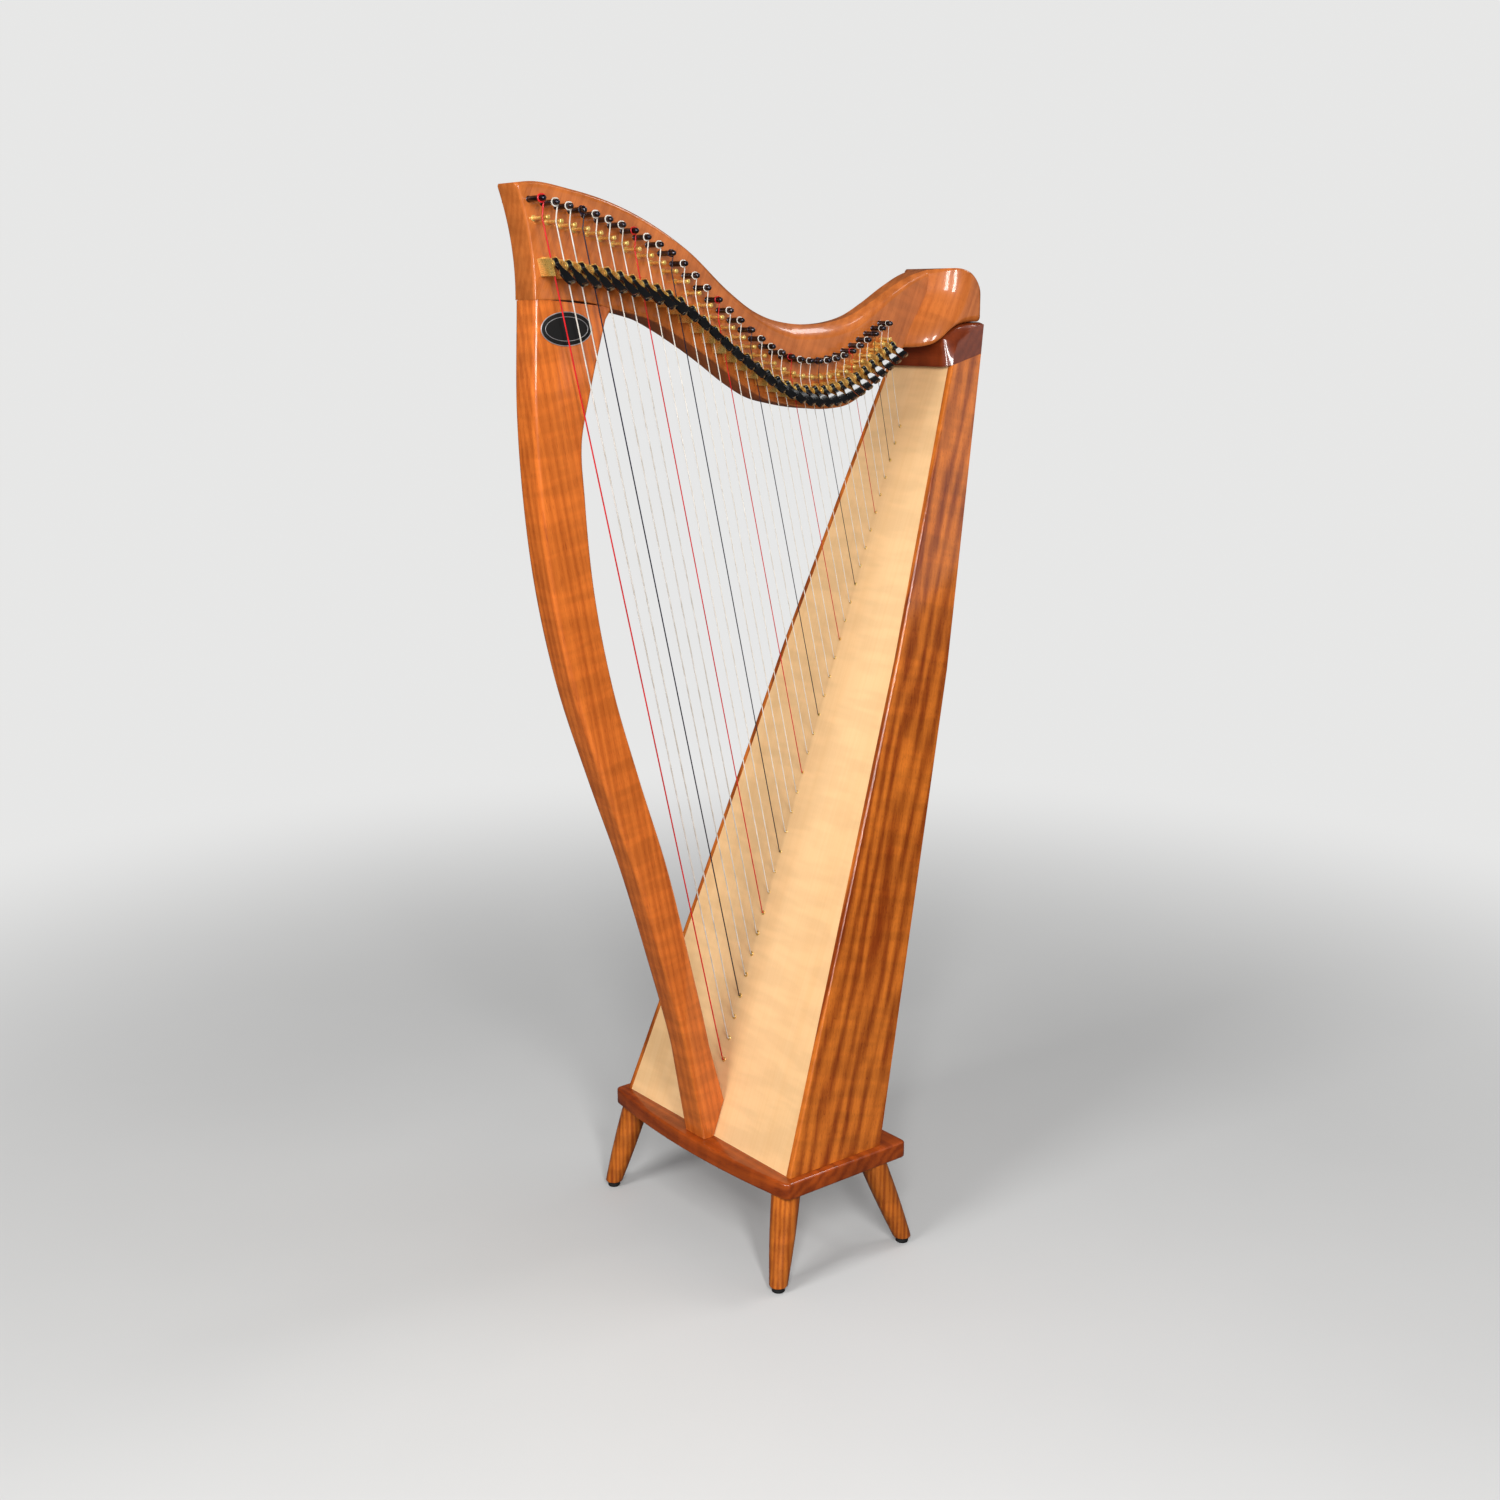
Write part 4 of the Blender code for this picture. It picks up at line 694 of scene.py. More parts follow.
@dataclass
class Stand:
    """Base plate, four splayed legs, their studs and rubber feet."""

    half_wide: float = 0.198
    front: float = 0.0140
    bow: float = 0.015
    corner: float = 0.007
    edge: float = 0.003
    leg_radius: tuple = (0.0123, 0.0195)
    leg_swell: float = 0.0012
    leg_edge: float = 0.0018
    leg_straight: float = 0.010
    foot_radius: float = 0.0088
    # height and inset of a foot's rings
    foot: tuple = ((0.0, 0.0012), (0.0004, 0.0005), (0.0012, 0.0), (0.002, 0.0),
                   (0.0062, 0.0), (0.0071, 0.0003), (0.0075, 0.0008))
    # name, top centre (x, y), and how far the foot is splayed from there
    places: tuple = (("front_left", 0.005, -0.172, -0.031, -0.021),
                     ("front_right", 0.005, 0.172, -0.031, 0.021),
                     ("back_left", 0.153, -0.176, 0.044, -0.021),
                     ("back_right", 0.153, 0.176, 0.044, 0.021))

    def outline(self, inset: float) -> Array:
        """The plate's edge: a front bowed as a parabola, and corners turned as arcs.

        Args:
            inset: how far inside the outer edge.

        Returns:
            (n, 2) points.
        """
        wide, r = self.half_wide - inset, self.corner
        low, high = inset - self.front, LINES.plate_back - inset
        y = np.linspace(-wide + r, wide - r, 41)
        cos, sin = quarter(7)
        half = np.vstack([columns(low + r * cos, wide - r * sin)[1:],
                          columns(high - r * sin, wide - r * cos)])
        return np.vstack([columns(low - self.bow * (1 - (y / wide)**2), y), half,
                          half[::-1] * (1, -1)])

    def plate(self) -> None:
        """The foot board, its edges rounded over as quarter circles."""
        inset, rise = (self.edge * v[::-1] for v in quarter(5))
        low = zip(LINES.leg_height + rise, inset)
        high = zip(LINES.plate_top - rise[::-1], inset[::-1])
        rings = [columns(*self.outline(d).T, z) for z, d in (*low, *high)]
        Surface("base_plate_finish").grid(np.array(rings)).make(Finish.PLATE, "base_plate",
                                                                sharp=50)

    def stack(self, name: str, node: str, centres: Array, z: Array, radius: Array,
              finish: Finish) -> None:
        """Level rings down a leg's line, standing for a node.

        Args:
            name: the piece's name.
            node: the node that it stands for.
            centres: (x, y) of each ring's centre.
            z: each ring's height.
            radius: each ring's radius.
            finish: its finish.
        """
        flat = centres[:, None] + radius[:, None, None] * circle(40)
        points = columns(flat[..., 0], flat[..., 1], z[:, None])
        Surface(name).grid(points).make(finish, node, sharp=50)

    def leg(self, name: str, place: Array) -> None:
        """One leg and its foot, each a stack of level circles down its line, and the stud given its
        finish.
        """
        low, high = self.foot[-1][0] + GAP, LINES.leg_height - GAP
        cos, sin = quarter(4)
        z = np.append(low + self.leg_edge * cos, np.linspace(low + self.leg_straight, high, 9))
        grow = (z - low) / (high - low)
        radius = between(self.leg_radius, grow) + self.leg_swell * np.sin(math.pi * grow)
        radius[:len(sin)] -= self.leg_edge * sin
        drop = (LINES.leg_height - z) / LINES.leg_height
        centres = place[:2] + place[2:] * drop[:, None]
        self.stack(f"leg_{name}_turned", f"leg_{name}", centres, z, radius, Finish.LEG)
        z, inset = np.transpose(self.foot)
        self.stack(f"foot_{name}_pad", f"foot_{name}", np.tile(centres[0], (len(z), 1)), z,
                   self.foot_radius - inset, Finish.RUBBER)
        dress(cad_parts[f"stud_{name}"], Finish.ZINC)

    def build(self) -> None:
        """Make the stand."""
        self.plate()
        for name, *place in self.places:
            self.leg(name, np.array(place))


# Soundbox


@dataclass
class Soundbox:
    """Soundboard, side walls, back with its holes, and the rib and braces inside."""

    depth_foot: float = 0.159
    depth_bend: float = 0.093
    bend_lean: float = 0.125
    wall: float = 0.008
    edge: float = 0.0028
    board: float = 0.004
    recess: float = 0.0006
    belly_height: float = 0.0045
    belly_start: float = 0.075
    belly_run: float = 0.12
    rib_half: float = 0.012
    rib_deep: float = 0.007
    rib_edge: float = 0.0025
    rib_round: float = math.sqrt(0.98)
    rib_start: float = 0.080
    rib_margin: float = 0.060

    def top_along(self, n: Array) -> Array:
        """Where a line at depth n meets the box's sloping top."""
        return LINES.board_length + LINES.top_rise * n / LINES.top_depth

    def belly(self, s: Array) -> Array:
        """Rise of the board's middle: a sine up from the foot times a sine down to the top."""
        up = np.clip((s - self.belly_start) / self.belly_run, 0, 1)
        down = np.clip((LINES.board_length - s) / self.belly_run, 0, 1)
        return self.belly_height * np.sin(up * math.pi / 2) * np.sin(down * math.pi / 2)

    def walls(self) -> None:
        """Side walls in two flat fields; the front outer edge is a quarter round."""
        foot_along, foot_deep = self.depth_foot * LINES.along
        bend = LINES.bend_along + self.bend_lean * (LINES.top_rise + foot_along)
        top = LINES.top_depth
        fronts = (LINES.foot_along(0.0), LINES.bend_along, LINES.board_length - GAP)
        backs = ((LINES.foot_along(foot_deep), foot_deep), (bend, self.depth_bend),
                 (self.top_along(top) - GAP, top))
        inward, down = (self.edge * v for v in quarter(6))
        for sign, name in ((-1, "left"), (1, "right")):
            rings = []
            for front, back in zip(fronts, backs):
                outer = float(LINES.half_width(front))
                slope = (back[0] - front) / back[1]
                rings.append(np.vstack([
                    LINES.in_box(front + down * slope, down, sign * (outer - inward)),
                    LINES.in_box(front, 0.0, sign * (outer - self.wall)),
                    LINES.in_box(*back, sign * (outer - self.wall)),
                    LINES.in_box(*back, sign * outer)]))
            Surface(f"{name}_side_wall").grid(np.array(rings)).make(
                Finish.SIDE, f"soundbox_{name}_side", sharp=25)

    def soundboard(self) -> None:
        """The board between the walls: its rise falls off across it as a raised cosine."""
        s = np.unique(np.append(np.linspace(0.0, LINES.board_length, 90), LINES.bend_along))
        s, t = s[:, None], np.linspace(-1, 1, 33)
        y = (LINES.half_width(s) - self.wall - GAP) * t
        front = self.recess - self.belly(s) * bell(t)
        layers = []
        for n in (front, front + self.board):
            along = s + 0.0 * t
            along[0] = LINES.foot_along(n[0])
            along[-1] = self.top_along(n[-1]) - GAP
            layers.append(LINES.in_box(along, n, y))
        points = np.concatenate([layers[0], layers[1][:, ::-1]], axis=1)
        Surface("soundboard_panel").grid(points).make(Finish.BIRCH, "soundboard", sharp=40)

    def rib(self) -> None:
        """The strip under the board that the strings are made fast in, curved like it above."""
        s = np.linspace(self.rib_start, LINES.board_length - self.rib_margin, 60)[:, None]
        t = np.linspace(-1, 1, 9)
        y = self.rib_half * t
        seat = self.recess + self.board + GAP
        above = seat - self.belly(s) * bell(y / (LINES.half_width(s) - self.wall))
        below = seat + self.rib_deep - self.rib_edge * rounded(self.rib_round * t**4)
        points = [LINES.in_box(s, above, y), LINES.in_box(s, below, y)[:, ::-1]]
        Surface("string_rib").grid(np.concatenate(points, axis=1)).make(Finish.SPRUCE, sharp=40)

    def build(self) -> None:
        """Make the soundbox; its back, with the cut holes, and its braces stay as they are."""
        self.walls()
        self.soundboard()
        self.rib()
        dress(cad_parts["soundbox_back"], Finish.BACK)
        for number in (1, 2, 3):
            dress(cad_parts[f"soundboard_brace_{number}"], Finish.SPRUCE)


# Column and badge


@dataclass
class Column:
    """The curved column with its rounded corners, and the blank oval plaque."""

    foot_front: float = 0.017
    foot_seat: float = 0.052
    foot_edges: tuple = (0.00315, 0.0005)
    edges: tuple = (0.007, 0.004)
    bow: tuple = ((0.0, 0.0), (0.12, -0.002), (0.24, 0.008), (0.36, 0.0215), (0.47, 0.0405),
                  (0.58, 0.0562), (0.69, 0.0583), (0.79, 0.0486), (0.88, 0.0325), (1.0, 0.0))
    depth: tuple = ((0.0, 0.036), (0.12, 0.038), (0.24, 0.0435), (0.36, 0.050), (0.47, 0.054),
                    (0.58, 0.058), (0.69, 0.0612), (0.79, 0.0645), (0.855, 0.0665),
                    (0.90, 0.0790), (0.95, 0.0925), (0.985, 0.1025), (1.0, 0.1080))
    # shares of the height where the shaft and then the widening top have their levels
    shaft: tuple = (0.12, 0.84)
    widening: tuple = (0.85, 0.98)
    tenon_in: float = 0.0012
    tenon_high: float = 0.0015
    badge_half: tuple = (0.0355, 0.020)
    badge_place: tuple = (0.0425, -0.033)
    # inset and height of the badge's rings, then its two lines with their radius
    badge_rings: tuple = ((0.0008, GAP), (0.0008, 0.0010), (0.0016, 0.0013), (0.008, 0.0015),
                          (0.016, 0.0016))
    badge_lines: tuple = (("badge_rim", 0.0007, 0.0009, 0.0006),
                          ("badge_line", 0.0062, 0.0014, 0.00038))

    def front(self, share: Array) -> Array:
        """(x, z) of the front edge: the straight line less the bow."""
        foot = np.array([-self.foot_front, LINES.plate_top])
        line = foot + (LINES.joint_front - foot) * share[:, None]
        return line - columns(through(self.bow, share), 0.0)

    def sections(self) -> tuple[Array, Array]:
        """Front and back (x, z) points of each level, seated on the plate at the foot."""
        seat = self.foot_seat * LINES.along[1] / LINES.column_height
        front_low = self.front(np.array([0.0, seat]))
        front_low[0, 1] += GAP
        along = (front_low[:, 1] - LINES.plate_top) / LINES.along[1]
        back_low = columns(LINES.in_box(along, 0.0, 0.0)[:, 0] - 2 * GAP, front_low[:, 1])
        share = np.append(np.linspace(*self.shaft, 90), np.linspace(*self.widening, 24))
        front = self.front(share)
        back = front + columns(through(self.depth, share), 0.0)
        return np.vstack([front_low, front]), np.vstack([back_low, back])

    def rings(self, front: Array, back: Array, edges: Array) -> Array:
        """Level sections whose four corners are quarter circles.

        Args:
            front: (rows, 2) points.
            back: (rows, 2) points.
            edges: (rows, 2) corner radii, at the front and the back.

        Returns:
            Grid of (rows, 28, 3).
        """
        cos, sin = quarter(7)
        length = np.linalg.norm(back - front, axis=1)[:, None]
        along = (back - front) / length
        ahead, behind = edges[:, :1], edges[:, 1:]
        near = np.hstack([ahead * cos, length - behind * sin])
        wide = LINES.half_thick - np.hstack([ahead * sin, behind * cos])
        reach = np.hstack([near, near[:, ::-1]])
        spot = front[:, None] + along[:, None] * reach[..., None]
        return columns(spot[..., 0], np.hstack([-wide, wide[:, ::-1]]), spot[..., 1])

    def timber(self) -> None:
        """The column up to its slightly arched joint, with a low tenon that closes the seam."""
        front, back = self.sections()
        edges = np.tile(self.edges, (len(front), 1))
        edges[:2] = self.foot_edges
        grids = [self.rings(front, back, edges)]
        tip = self.front(np.array([1.0]))
        depth = LINES.chord[0] * LINES.joint[-1][0]
        for inset in (0.0, self.tenon_in):
            top = self.rings(tip + (inset, 0.0), tip + (depth - inset, 0.0), edges[-1:])
            top[..., 1] *= 1 - inset / LINES.half_thick
            top[..., 2] = LINES.curve(LINES.joint, LINES.share_of(top[..., 0]))[..., 1] - GAP
            grids.append(top)
        grids.append(top + (0.0, 0.0, self.tenon_high))
        Surface("column_shaft").grid(np.concatenate(grids)).make(Finish.COLUMN, "column",
                                                                 sharp=40)

    def oval(self, inset: float, height: float) -> tuple[Array, Array]:
        """An oval inside the badge's edge, on the column's face or proud of it by a height.

        Args:
            inset: how far inside the edge.
            height: how far proud of the face.

        Returns:
            The oval's points, and their unit directions out of it along the face.
        """
        a = TAU * np.arange(72) / 72
        x, z = LINES.joint_front + self.badge_place
        long, high = self.badge_half[0] - inset, self.badge_half[1] - inset
        across = columns(long * np.cos(a), 0.0, high * np.sin(a))
        out = unit(across * (self.badge_half[1], 1.0, self.badge_half[0]))
        return across + (x, -LINES.half_thick - height, z), out

    def badge(self) -> None:
        """A black oval with a slightly domed face, a bright rim and an inner line."""
        rows = [self.oval(*ring)[0] for ring in self.badge_rings]
        Surface("badge_face").grid(np.array(rows)).make(Finish.PLAQUE, "badge")
        a = TAU * np.arange(10)[:, None] / 10
        for name, inset, height, size in self.badge_lines:
            path, out = (v[:, None] for v in self.oval(inset, height))
            tube = path + size * (np.cos(a) * out + np.sin(a) * NEAR)
            Surface(name).grid(tube, loop=True).make(Finish.SILVER, sharp=180)

    def build(self) -> None:
        """Make the column and its plaque."""
        self.timber()
        self.badge()


# Neck, shoulder and cap


@dataclass
class Neck:
    """The harmonic curve, its swell into the shoulder, and the cap on the soundbox."""

    top: tuple = ((-0.032, 0.1263), (0.0, 0.1312), (0.085, 0.1318), (0.174, 0.1264),
                  (0.264, 0.1121), (0.359, 0.0867), (0.457, 0.0491), (0.514, 0.0325),
                  (0.560, 0.0256), (0.612, 0.0238), (0.672, 0.0268), (0.729, 0.0343),
                  (0.785, 0.0475), (0.840, 0.0688), (0.897, 0.0937), (0.954, 0.1150),
                  (0.990, 0.1242))
    bottom: tuple = ((0.171, 0.0042), (0.225, 0.0015), (0.26, -0.0012), (0.304, -0.0100),
                     (0.353, -0.0225), (0.411, -0.0394), (0.481, -0.0624), (0.535, -0.0757),
                     (0.60, -0.0805), (0.645, -0.0815), (0.683, -0.0806), (0.723, -0.0770),
                     (0.762, -0.0705), (0.795, -0.0590), (0.830, -0.0410), (0.862, -0.0215),
                     (0.893, 0.0000), (0.924, 0.0165))
    head_bow: float = 0.0065
    head_bow_run: float = 0.05
    # the lower edges' radius, its most as a share of the height, and the joint's share of it
    edge: float = 0.0045
    edge_most: float = 0.1
    joint_edge: float = 0.1
    # under the shoulder the radius grows from a place on, over a run
    under_edge: float = 0.0085
    under_start: float = 0.93
    under_run: float = 0.05
    bevel_width: tuple = ((-0.04, 0.0035), (0.35, 0.0035), (0.50, 0.0085), (0.62, 0.0155),
                          (0.74, 0.0150), (0.90, 0.0110), (0.985, 0.0040), (1.0, 0.0030))
    bevel_drop: tuple = ((-0.04, 0.0035), (0.35, 0.0040), (0.50, 0.0110), (0.62, 0.0200),
                         (0.80, 0.0170), (0.90, 0.0120), (0.985, 0.0040), (1.0, 0.0030))
    drop_most: float = 0.3
    bevel_bend: float = 0.75
    half_wide: float = 0.061
    swell_run: float = 0.052
    # height over the soundboard's top, and how far before it the flat sides end
    line: tuple = ((0.0261, 0.0478), (0.0363, 0.0451), (0.0594, 0.0332), (0.0805, 0.0187),
                   (0.0946, 0.0112), (0.1232, 0.0070))
    line_reach: float = 0.030
    lean: float = 0.042
    lean_start: float = 0.6
    lean_power: float = 1.5
    crest: float = 0.1275
    back: float = 0.058
    back_radius: float = 0.040
    back_drop: float = 1.12
    back_edge: float = 0.007
    front_edge: float = 0.0034
    # the seat of the neck on the cap: place and height from the soundboard's top
    seat: tuple = ((-0.0481, 0.0230), (-0.0300, 0.0243), (-0.0200, 0.0275), (-0.0120, 0.0330),
                   (-0.0040, 0.0402), (0.0040, 0.0460), (0.0140, 0.0512), (0.0280, 0.0548),
                   (0.0450, 0.0562), (0.0580, 0.0565))
    seat_turn: float = -0.014
    cap_front: float = 0.0095
    cap_lip: float = 0.0025
    cap_start: float = 0.0008
    cap_height: float = 0.053
    cap_half: float = 0.065
    cove_width: float = 0.013

    def edge_line(self, z: Array) -> Array:
        """Where the flat sides end at each height, and the shoulder starts to swell."""
        return LINES.board_top[0] - through(self.line, z - LINES.board_top[1])

    def towards_line(self, x: Array, z: Array) -> Array:
        """Places along the neck, moved so that one section runs on the shoulder's line.

        Each is moved by the line's distance from the straight section, times a share that
        falls from 1 on that section to 0 at a reach from it.
        """
        ends = np.array([LINES.on_neck(*self.bottom[-1]), LINES.on_neck(*self.top[-1])])
        straight = np.interp(z, ends[:, 1], ends[:, 0])
        near = np.clip(1 - np.abs(x - straight) / self.line_reach, 0, None)
        return x + near * (self.edge_line(z) - straight)

    def half(self, x: Array, z: Array) -> Array:
        """Half thickness: flat, then 1 - (1 - t)^2 of the distance past the line."""
        t = np.clip((x - self.edge_line(z)) / self.swell_run, 0.0, 1.0)
        return between((LINES.half_thick, self.half_wide), 1 - (1 - t)**2)

    def head_shares(self) -> Array:
        """Places along the joint, close together where the front edges are rounded."""
        near = self.front_edge * quarter(6)[0]
        return np.append(near / LINES.chord[0],
                         np.linspace(0.0, LINES.joint[-1][0], 24)[2:-1])

    def under_shares(self) -> Array:
        """Places along the underside between the joint and the shoulder."""
        return np.linspace(self.bottom[0][0], self.bottom[-1][0], 120)

    def lower(self) -> Array:
        """(x, z) of the underside, from the head over the joint to the shoulder's back."""
        reach = np.append(np.linspace(self.seat[0][0], self.seat_turn, 21)[1:],
                          np.linspace(self.seat_turn, self.back, 31)[1:])
        seat = LINES.board_top + columns(reach, through(self.seat, reach) + GAP)
        return np.vstack([LINES.curve(LINES.joint, self.head_shares()),
                          LINES.curve(self.bottom, self.under_shares()), seat])

    def upper(self) -> Array:
        """(x, z) of the top edge, one point for each of the underside's."""
        head, under = self.head_shares(), self.under_shares()
        head = head + self.top[0][0] * (1 - head / LINES.joint[-1][0])**2
        late = np.clip((under - self.lean_start) / (under[-1] - self.lean_start), 0, 1)
        under = under + late**self.lean_power * self.lean / LINES.chord[0]
        crest = LINES.on_neck(*self.top[-1])
        flat = LINES.board_top + (self.back - self.back_radius, self.crest)
        f = np.linspace(0.05, 1.0, 20)
        level = crest + (flat - crest) * columns(f, np.sin(f * math.pi / 2))
        cos, sin = quarter(31)
        turn = flat + self.back_radius * columns(1 - sin, -self.back_drop * cos)[1:]
        return np.vstack([LINES.curve(self.top, head), LINES.curve(self.top, under), level, turn])

    def timber(self) -> None:
        """The neck: sections from the underside to the top, rounded below, bevelled above.

        Each section goes up one side by rows (height, inset): a quarter round below, the
        flat or swelling side, and a bevel of inset t/4 + 3t^2/4 that starts at a crisp line.
        """
        bottom, top = self.lower(), self.upper()
        height = np.linalg.norm(top - bottom, axis=1)[:, None]
        share = LINES.share_of(0.5 * (bottom[:, :1] + top[:, :1]))
        wide = bands(self.bevel_width, share)
        drop = np.minimum(bands(self.bevel_drop, share), self.drop_most * height)
        ease = np.minimum(self.edge, self.edge_most * height)
        ease = np.where(share < LINES.joint[-1][0], self.joint_edge * ease, ease)
        late = smooth((share - self.under_start) / self.under_run)
        ease += (self.under_edge - self.edge) * late
        cos, sin = quarter(6)
        t, b = np.linspace(0, 1, 26)[1:-1], np.linspace(0, 1, 12)
        up = np.hstack([ease * cos, ease + (height - drop - ease) * t, height - drop + drop * b])
        bevel = between((b, b**2), self.bevel_bend)
        inset = np.hstack([ease * sin, 0 * height * t, wide * bevel])
        part = up / height
        spot = bottom[:, None] + (top - bottom)[:, None] * part[..., None]
        x, z = spot[..., 0], spot[..., 1]
        ahead = bottom[:, :1] - bottom[0, 0]
        bow = self.head_bow * np.clip(1 - ahead / self.head_bow_run, 0, None)
        x = self.towards_line(x + 4 * bow * part * (1 - part), z)
        half = self.half(x, z) - inset
        behind = LINES.board_top[0] + self.back - x
        for edge, away in ((self.back_edge, behind), (self.front_edge, ahead)):
            half = half - edge * rounded(1 - away / edge)
        near = columns(x, -half, z)
        points = np.concatenate([near, near[:, ::-1] * (1.0, -1.0, 1.0)], axis=1)
        Surface("neck_timber").grid(points).make(Finish.NECK, "neck", sharp=24)

    def cap(self) -> None:
        """The cap: sections from the sides' quarter ellipse in to the seat of the neck.

        Across the cove's width a section is the side's line plus a sine share of the way to
        the inner line, which stands proud in front and rises to meet the neck.
        """
        cos, sin = quarter(40)
        side = columns(between((self.cap_start, self.back), cos), self.cap_height * (1 - sin))
        front = float(through(self.seat, -self.cap_front)) - GAP
        reach = between((-self.cap_front, self.back), quarter(26)[0])
        inner = np.vstack([columns(-self.cap_front, np.linspace(-self.cap_lip, front, 15)[:-1]),
                           columns(reach, through(self.seat, reach) - GAP)])
        cove = self.cove_width * np.linspace(0, 1, 12) - self.cap_half
        across = np.concatenate([cove, np.linspace(cove[-1], -cove[-1], 17)[1:-1], -cove[::-1]])
        share = np.clip((self.cap_half - np.abs(across)) / self.cove_width, 0, 1)
        share = np.sin(share * math.pi / 2)[:, None, None]
        tail = LINES.in_box(LINES.board_length + LINES.top_rise, LINES.top_depth, 0.0)[[0, 2]]
        flat = np.concatenate([LINES.board_top + side + share * (inner - side),
                               np.tile(tail, (len(across), 1, 1))], axis=1)
        points = columns(flat[..., 0], across[:, None], flat[..., 1])
        Surface("shoulder_cap").grid(points).make(Finish.CAP, "shoulder_block", sharp=32,
                                                  bevel=0.0010)

    def build(self) -> None:
        """Make the neck and the cap."""
        self.timber()
        self.cap()


# Strings, pins and levers


@dataclass(frozen=True)
class Scale:
    """How the strings are spaced and how they stand off the neck: pairs are bass, treble."""

    count: int = 34
    wound: int = 8
    first_foot: float = 0.103
    foot_pitch: tuple = (0.0309, 0.0242)
    first_in: float = 0.0020
    pitch: tuple = (0.0183, 0.0120)
    pitch_ease: float = 2.25
    standoff: tuple = (0.025, 0.0155)
    radius: tuple = (0.00120, 0.00042)
    radius_ease: float = 0.7
    row: tuple = ((-0.003, 0.0900), (0.139, 0.0819), (0.282, 0.0581), (0.424, 0.0023),
                  (0.566, -0.0396), (0.709, -0.0334), (0.851, 0.0218))
    pin_place: tuple = (-0.0015, 0.0, 0.021)
    pin_radius: float = 0.00325
    bridge_radius: float = 0.0020
    eyelet_height: float = 0.0009
    turns: float = 1.25
    turn_points: int = 24
    turn_gap: float = 0.0004
    lever_share: float = 0.0412
    lever_start: float = 0.0035
    lobe: float = 0.0054


class Run:
    """One string: where it stands on the board, crosses its bridge pin and winds up."""

    def __init__(self, scale: Scale, box: Soundbox, number: int, foot: float,
                 bridge_x: float) -> None:
        """Work out the string's places.

        Args:
            scale: the spacing rules.
            box: gives the soundboard's rise.
            number: counted from 0 at the bass.
            foot: distance along the soundboard.
            bridge_x: where it crosses its bridge pin.
        """
        self.scale, self.number = scale, number
        self.place = number / (scale.count - 1)
        self.radius = between(scale.radius, self.place**scale.radius_ease)
        self.standoff = between(scale.standoff, self.place)
        x, z = LINES.curve(scale.row, LINES.share_of(bridge_x))
        self.bridge = np.array([x, -LINES.half_thick - self.standoff, z])
        self.out = -LINES.into
        self.seat = LINES.in_box(foot, box.recess - float(box.belly(foot)), 0.0)
        self.foot = self.seat + self.out * (scale.eyelet_height + GAP + self.radius)
        run = self.foot - self.bridge
        self.length = float(np.linalg.norm(run))
        self.direction = run / self.length
        self.down = unit(run * LEVEL)
        self.across = np.cross(self.down, NEAR)
        self.pin = self.bridge + scale.pin_place
        upward = unit((self.winding()[0] - self.bridge) * LEVEL)
        middle = unit(upward + self.down)
        spread = math.sqrt(1 - float(middle @ upward)**2)
        self.bridge_pin = self.bridge + middle * (scale.bridge_radius + self.radius + GAP) / spread

    @property
    def finish(self) -> Finish:
        """Red C, dark F, wound basses and clear nylon above."""
        plain = Finish.WOUND if self.number < self.scale.wound else Finish.NYLON
        return {0: Finish.RED, 3: Finish.DARK}.get(self.number % 7, plain)

    def winding(self) -> Array:
        """The turns round the tuning pin: a helix outwards, from the bridge pin's side."""
        scale = self.scale
        reach = scale.pin_radius + self.radius
        x, _, z = scale.pin_place
        start = math.atan2(-z, -x) + math.acos(reach / math.hypot(x, z))
        turns = np.arange(int(scale.turns * scale.turn_points) + 1) / scale.turn_points
        angle = start + TAU * turns
        return self.pin + columns(reach * np.cos(angle),
                                  -(2 * self.radius + scale.turn_gap) * turns,
                                  reach * np.sin(angle))

    def string_depth(self, along: Array | float = 0.0) -> Array | float:
        """How far under the lever's axis the string runs, along the lever's body."""
        level = math.hypot(self.direction[0], self.direction[2])
        return (self.scale.lobe + self.radius + GAP + along * self.direction[1]) / level

    def lever_centre(self) -> Array:
        """The lever's axis: over the string, below the bridge pin."""
        away = self.scale.lever_share * self.length + self.scale.lever_start
        return self.bridge + self.direction * away + NEAR * self.string_depth()


def string_runs(scale: Scale, box: Soundbox) -> list[Run]:
    """All strings, spaced by a pitch that falls from bass to treble."""
    runs, foot, bridge_x = [], scale.first_foot, LINES.joint_front[0] - scale.first_in
    for number in range(scale.count):
        runs.append(Run(scale, box, number, foot, bridge_x))
        place = (number + 0.5) / (scale.count - 1)
        foot += between(scale.foot_pitch, place)
        bridge_x += between(scale.pitch, place**scale.pitch_ease)
    return runs


def pin(spot: Array, side: int, profile: Array, ring: Array) -> Array:
    """A turned pin square to the neck's face.

    Args:
        spot: a point on its axis.
        side: -1 for the strings' side of the neck, 1 for the far side.
        profile: (height over the face, radius) rows.
        ring: (sides, 2) points of the section at radius one.

    Returns:
        Grid of shape (rows, sides, 3).
    """
    face = spot * LEVEL - side * LINES.half_thick * NEAR
    return turned(face, -side * NEAR, (1.0, 0.0, 0.0), profile, ring)


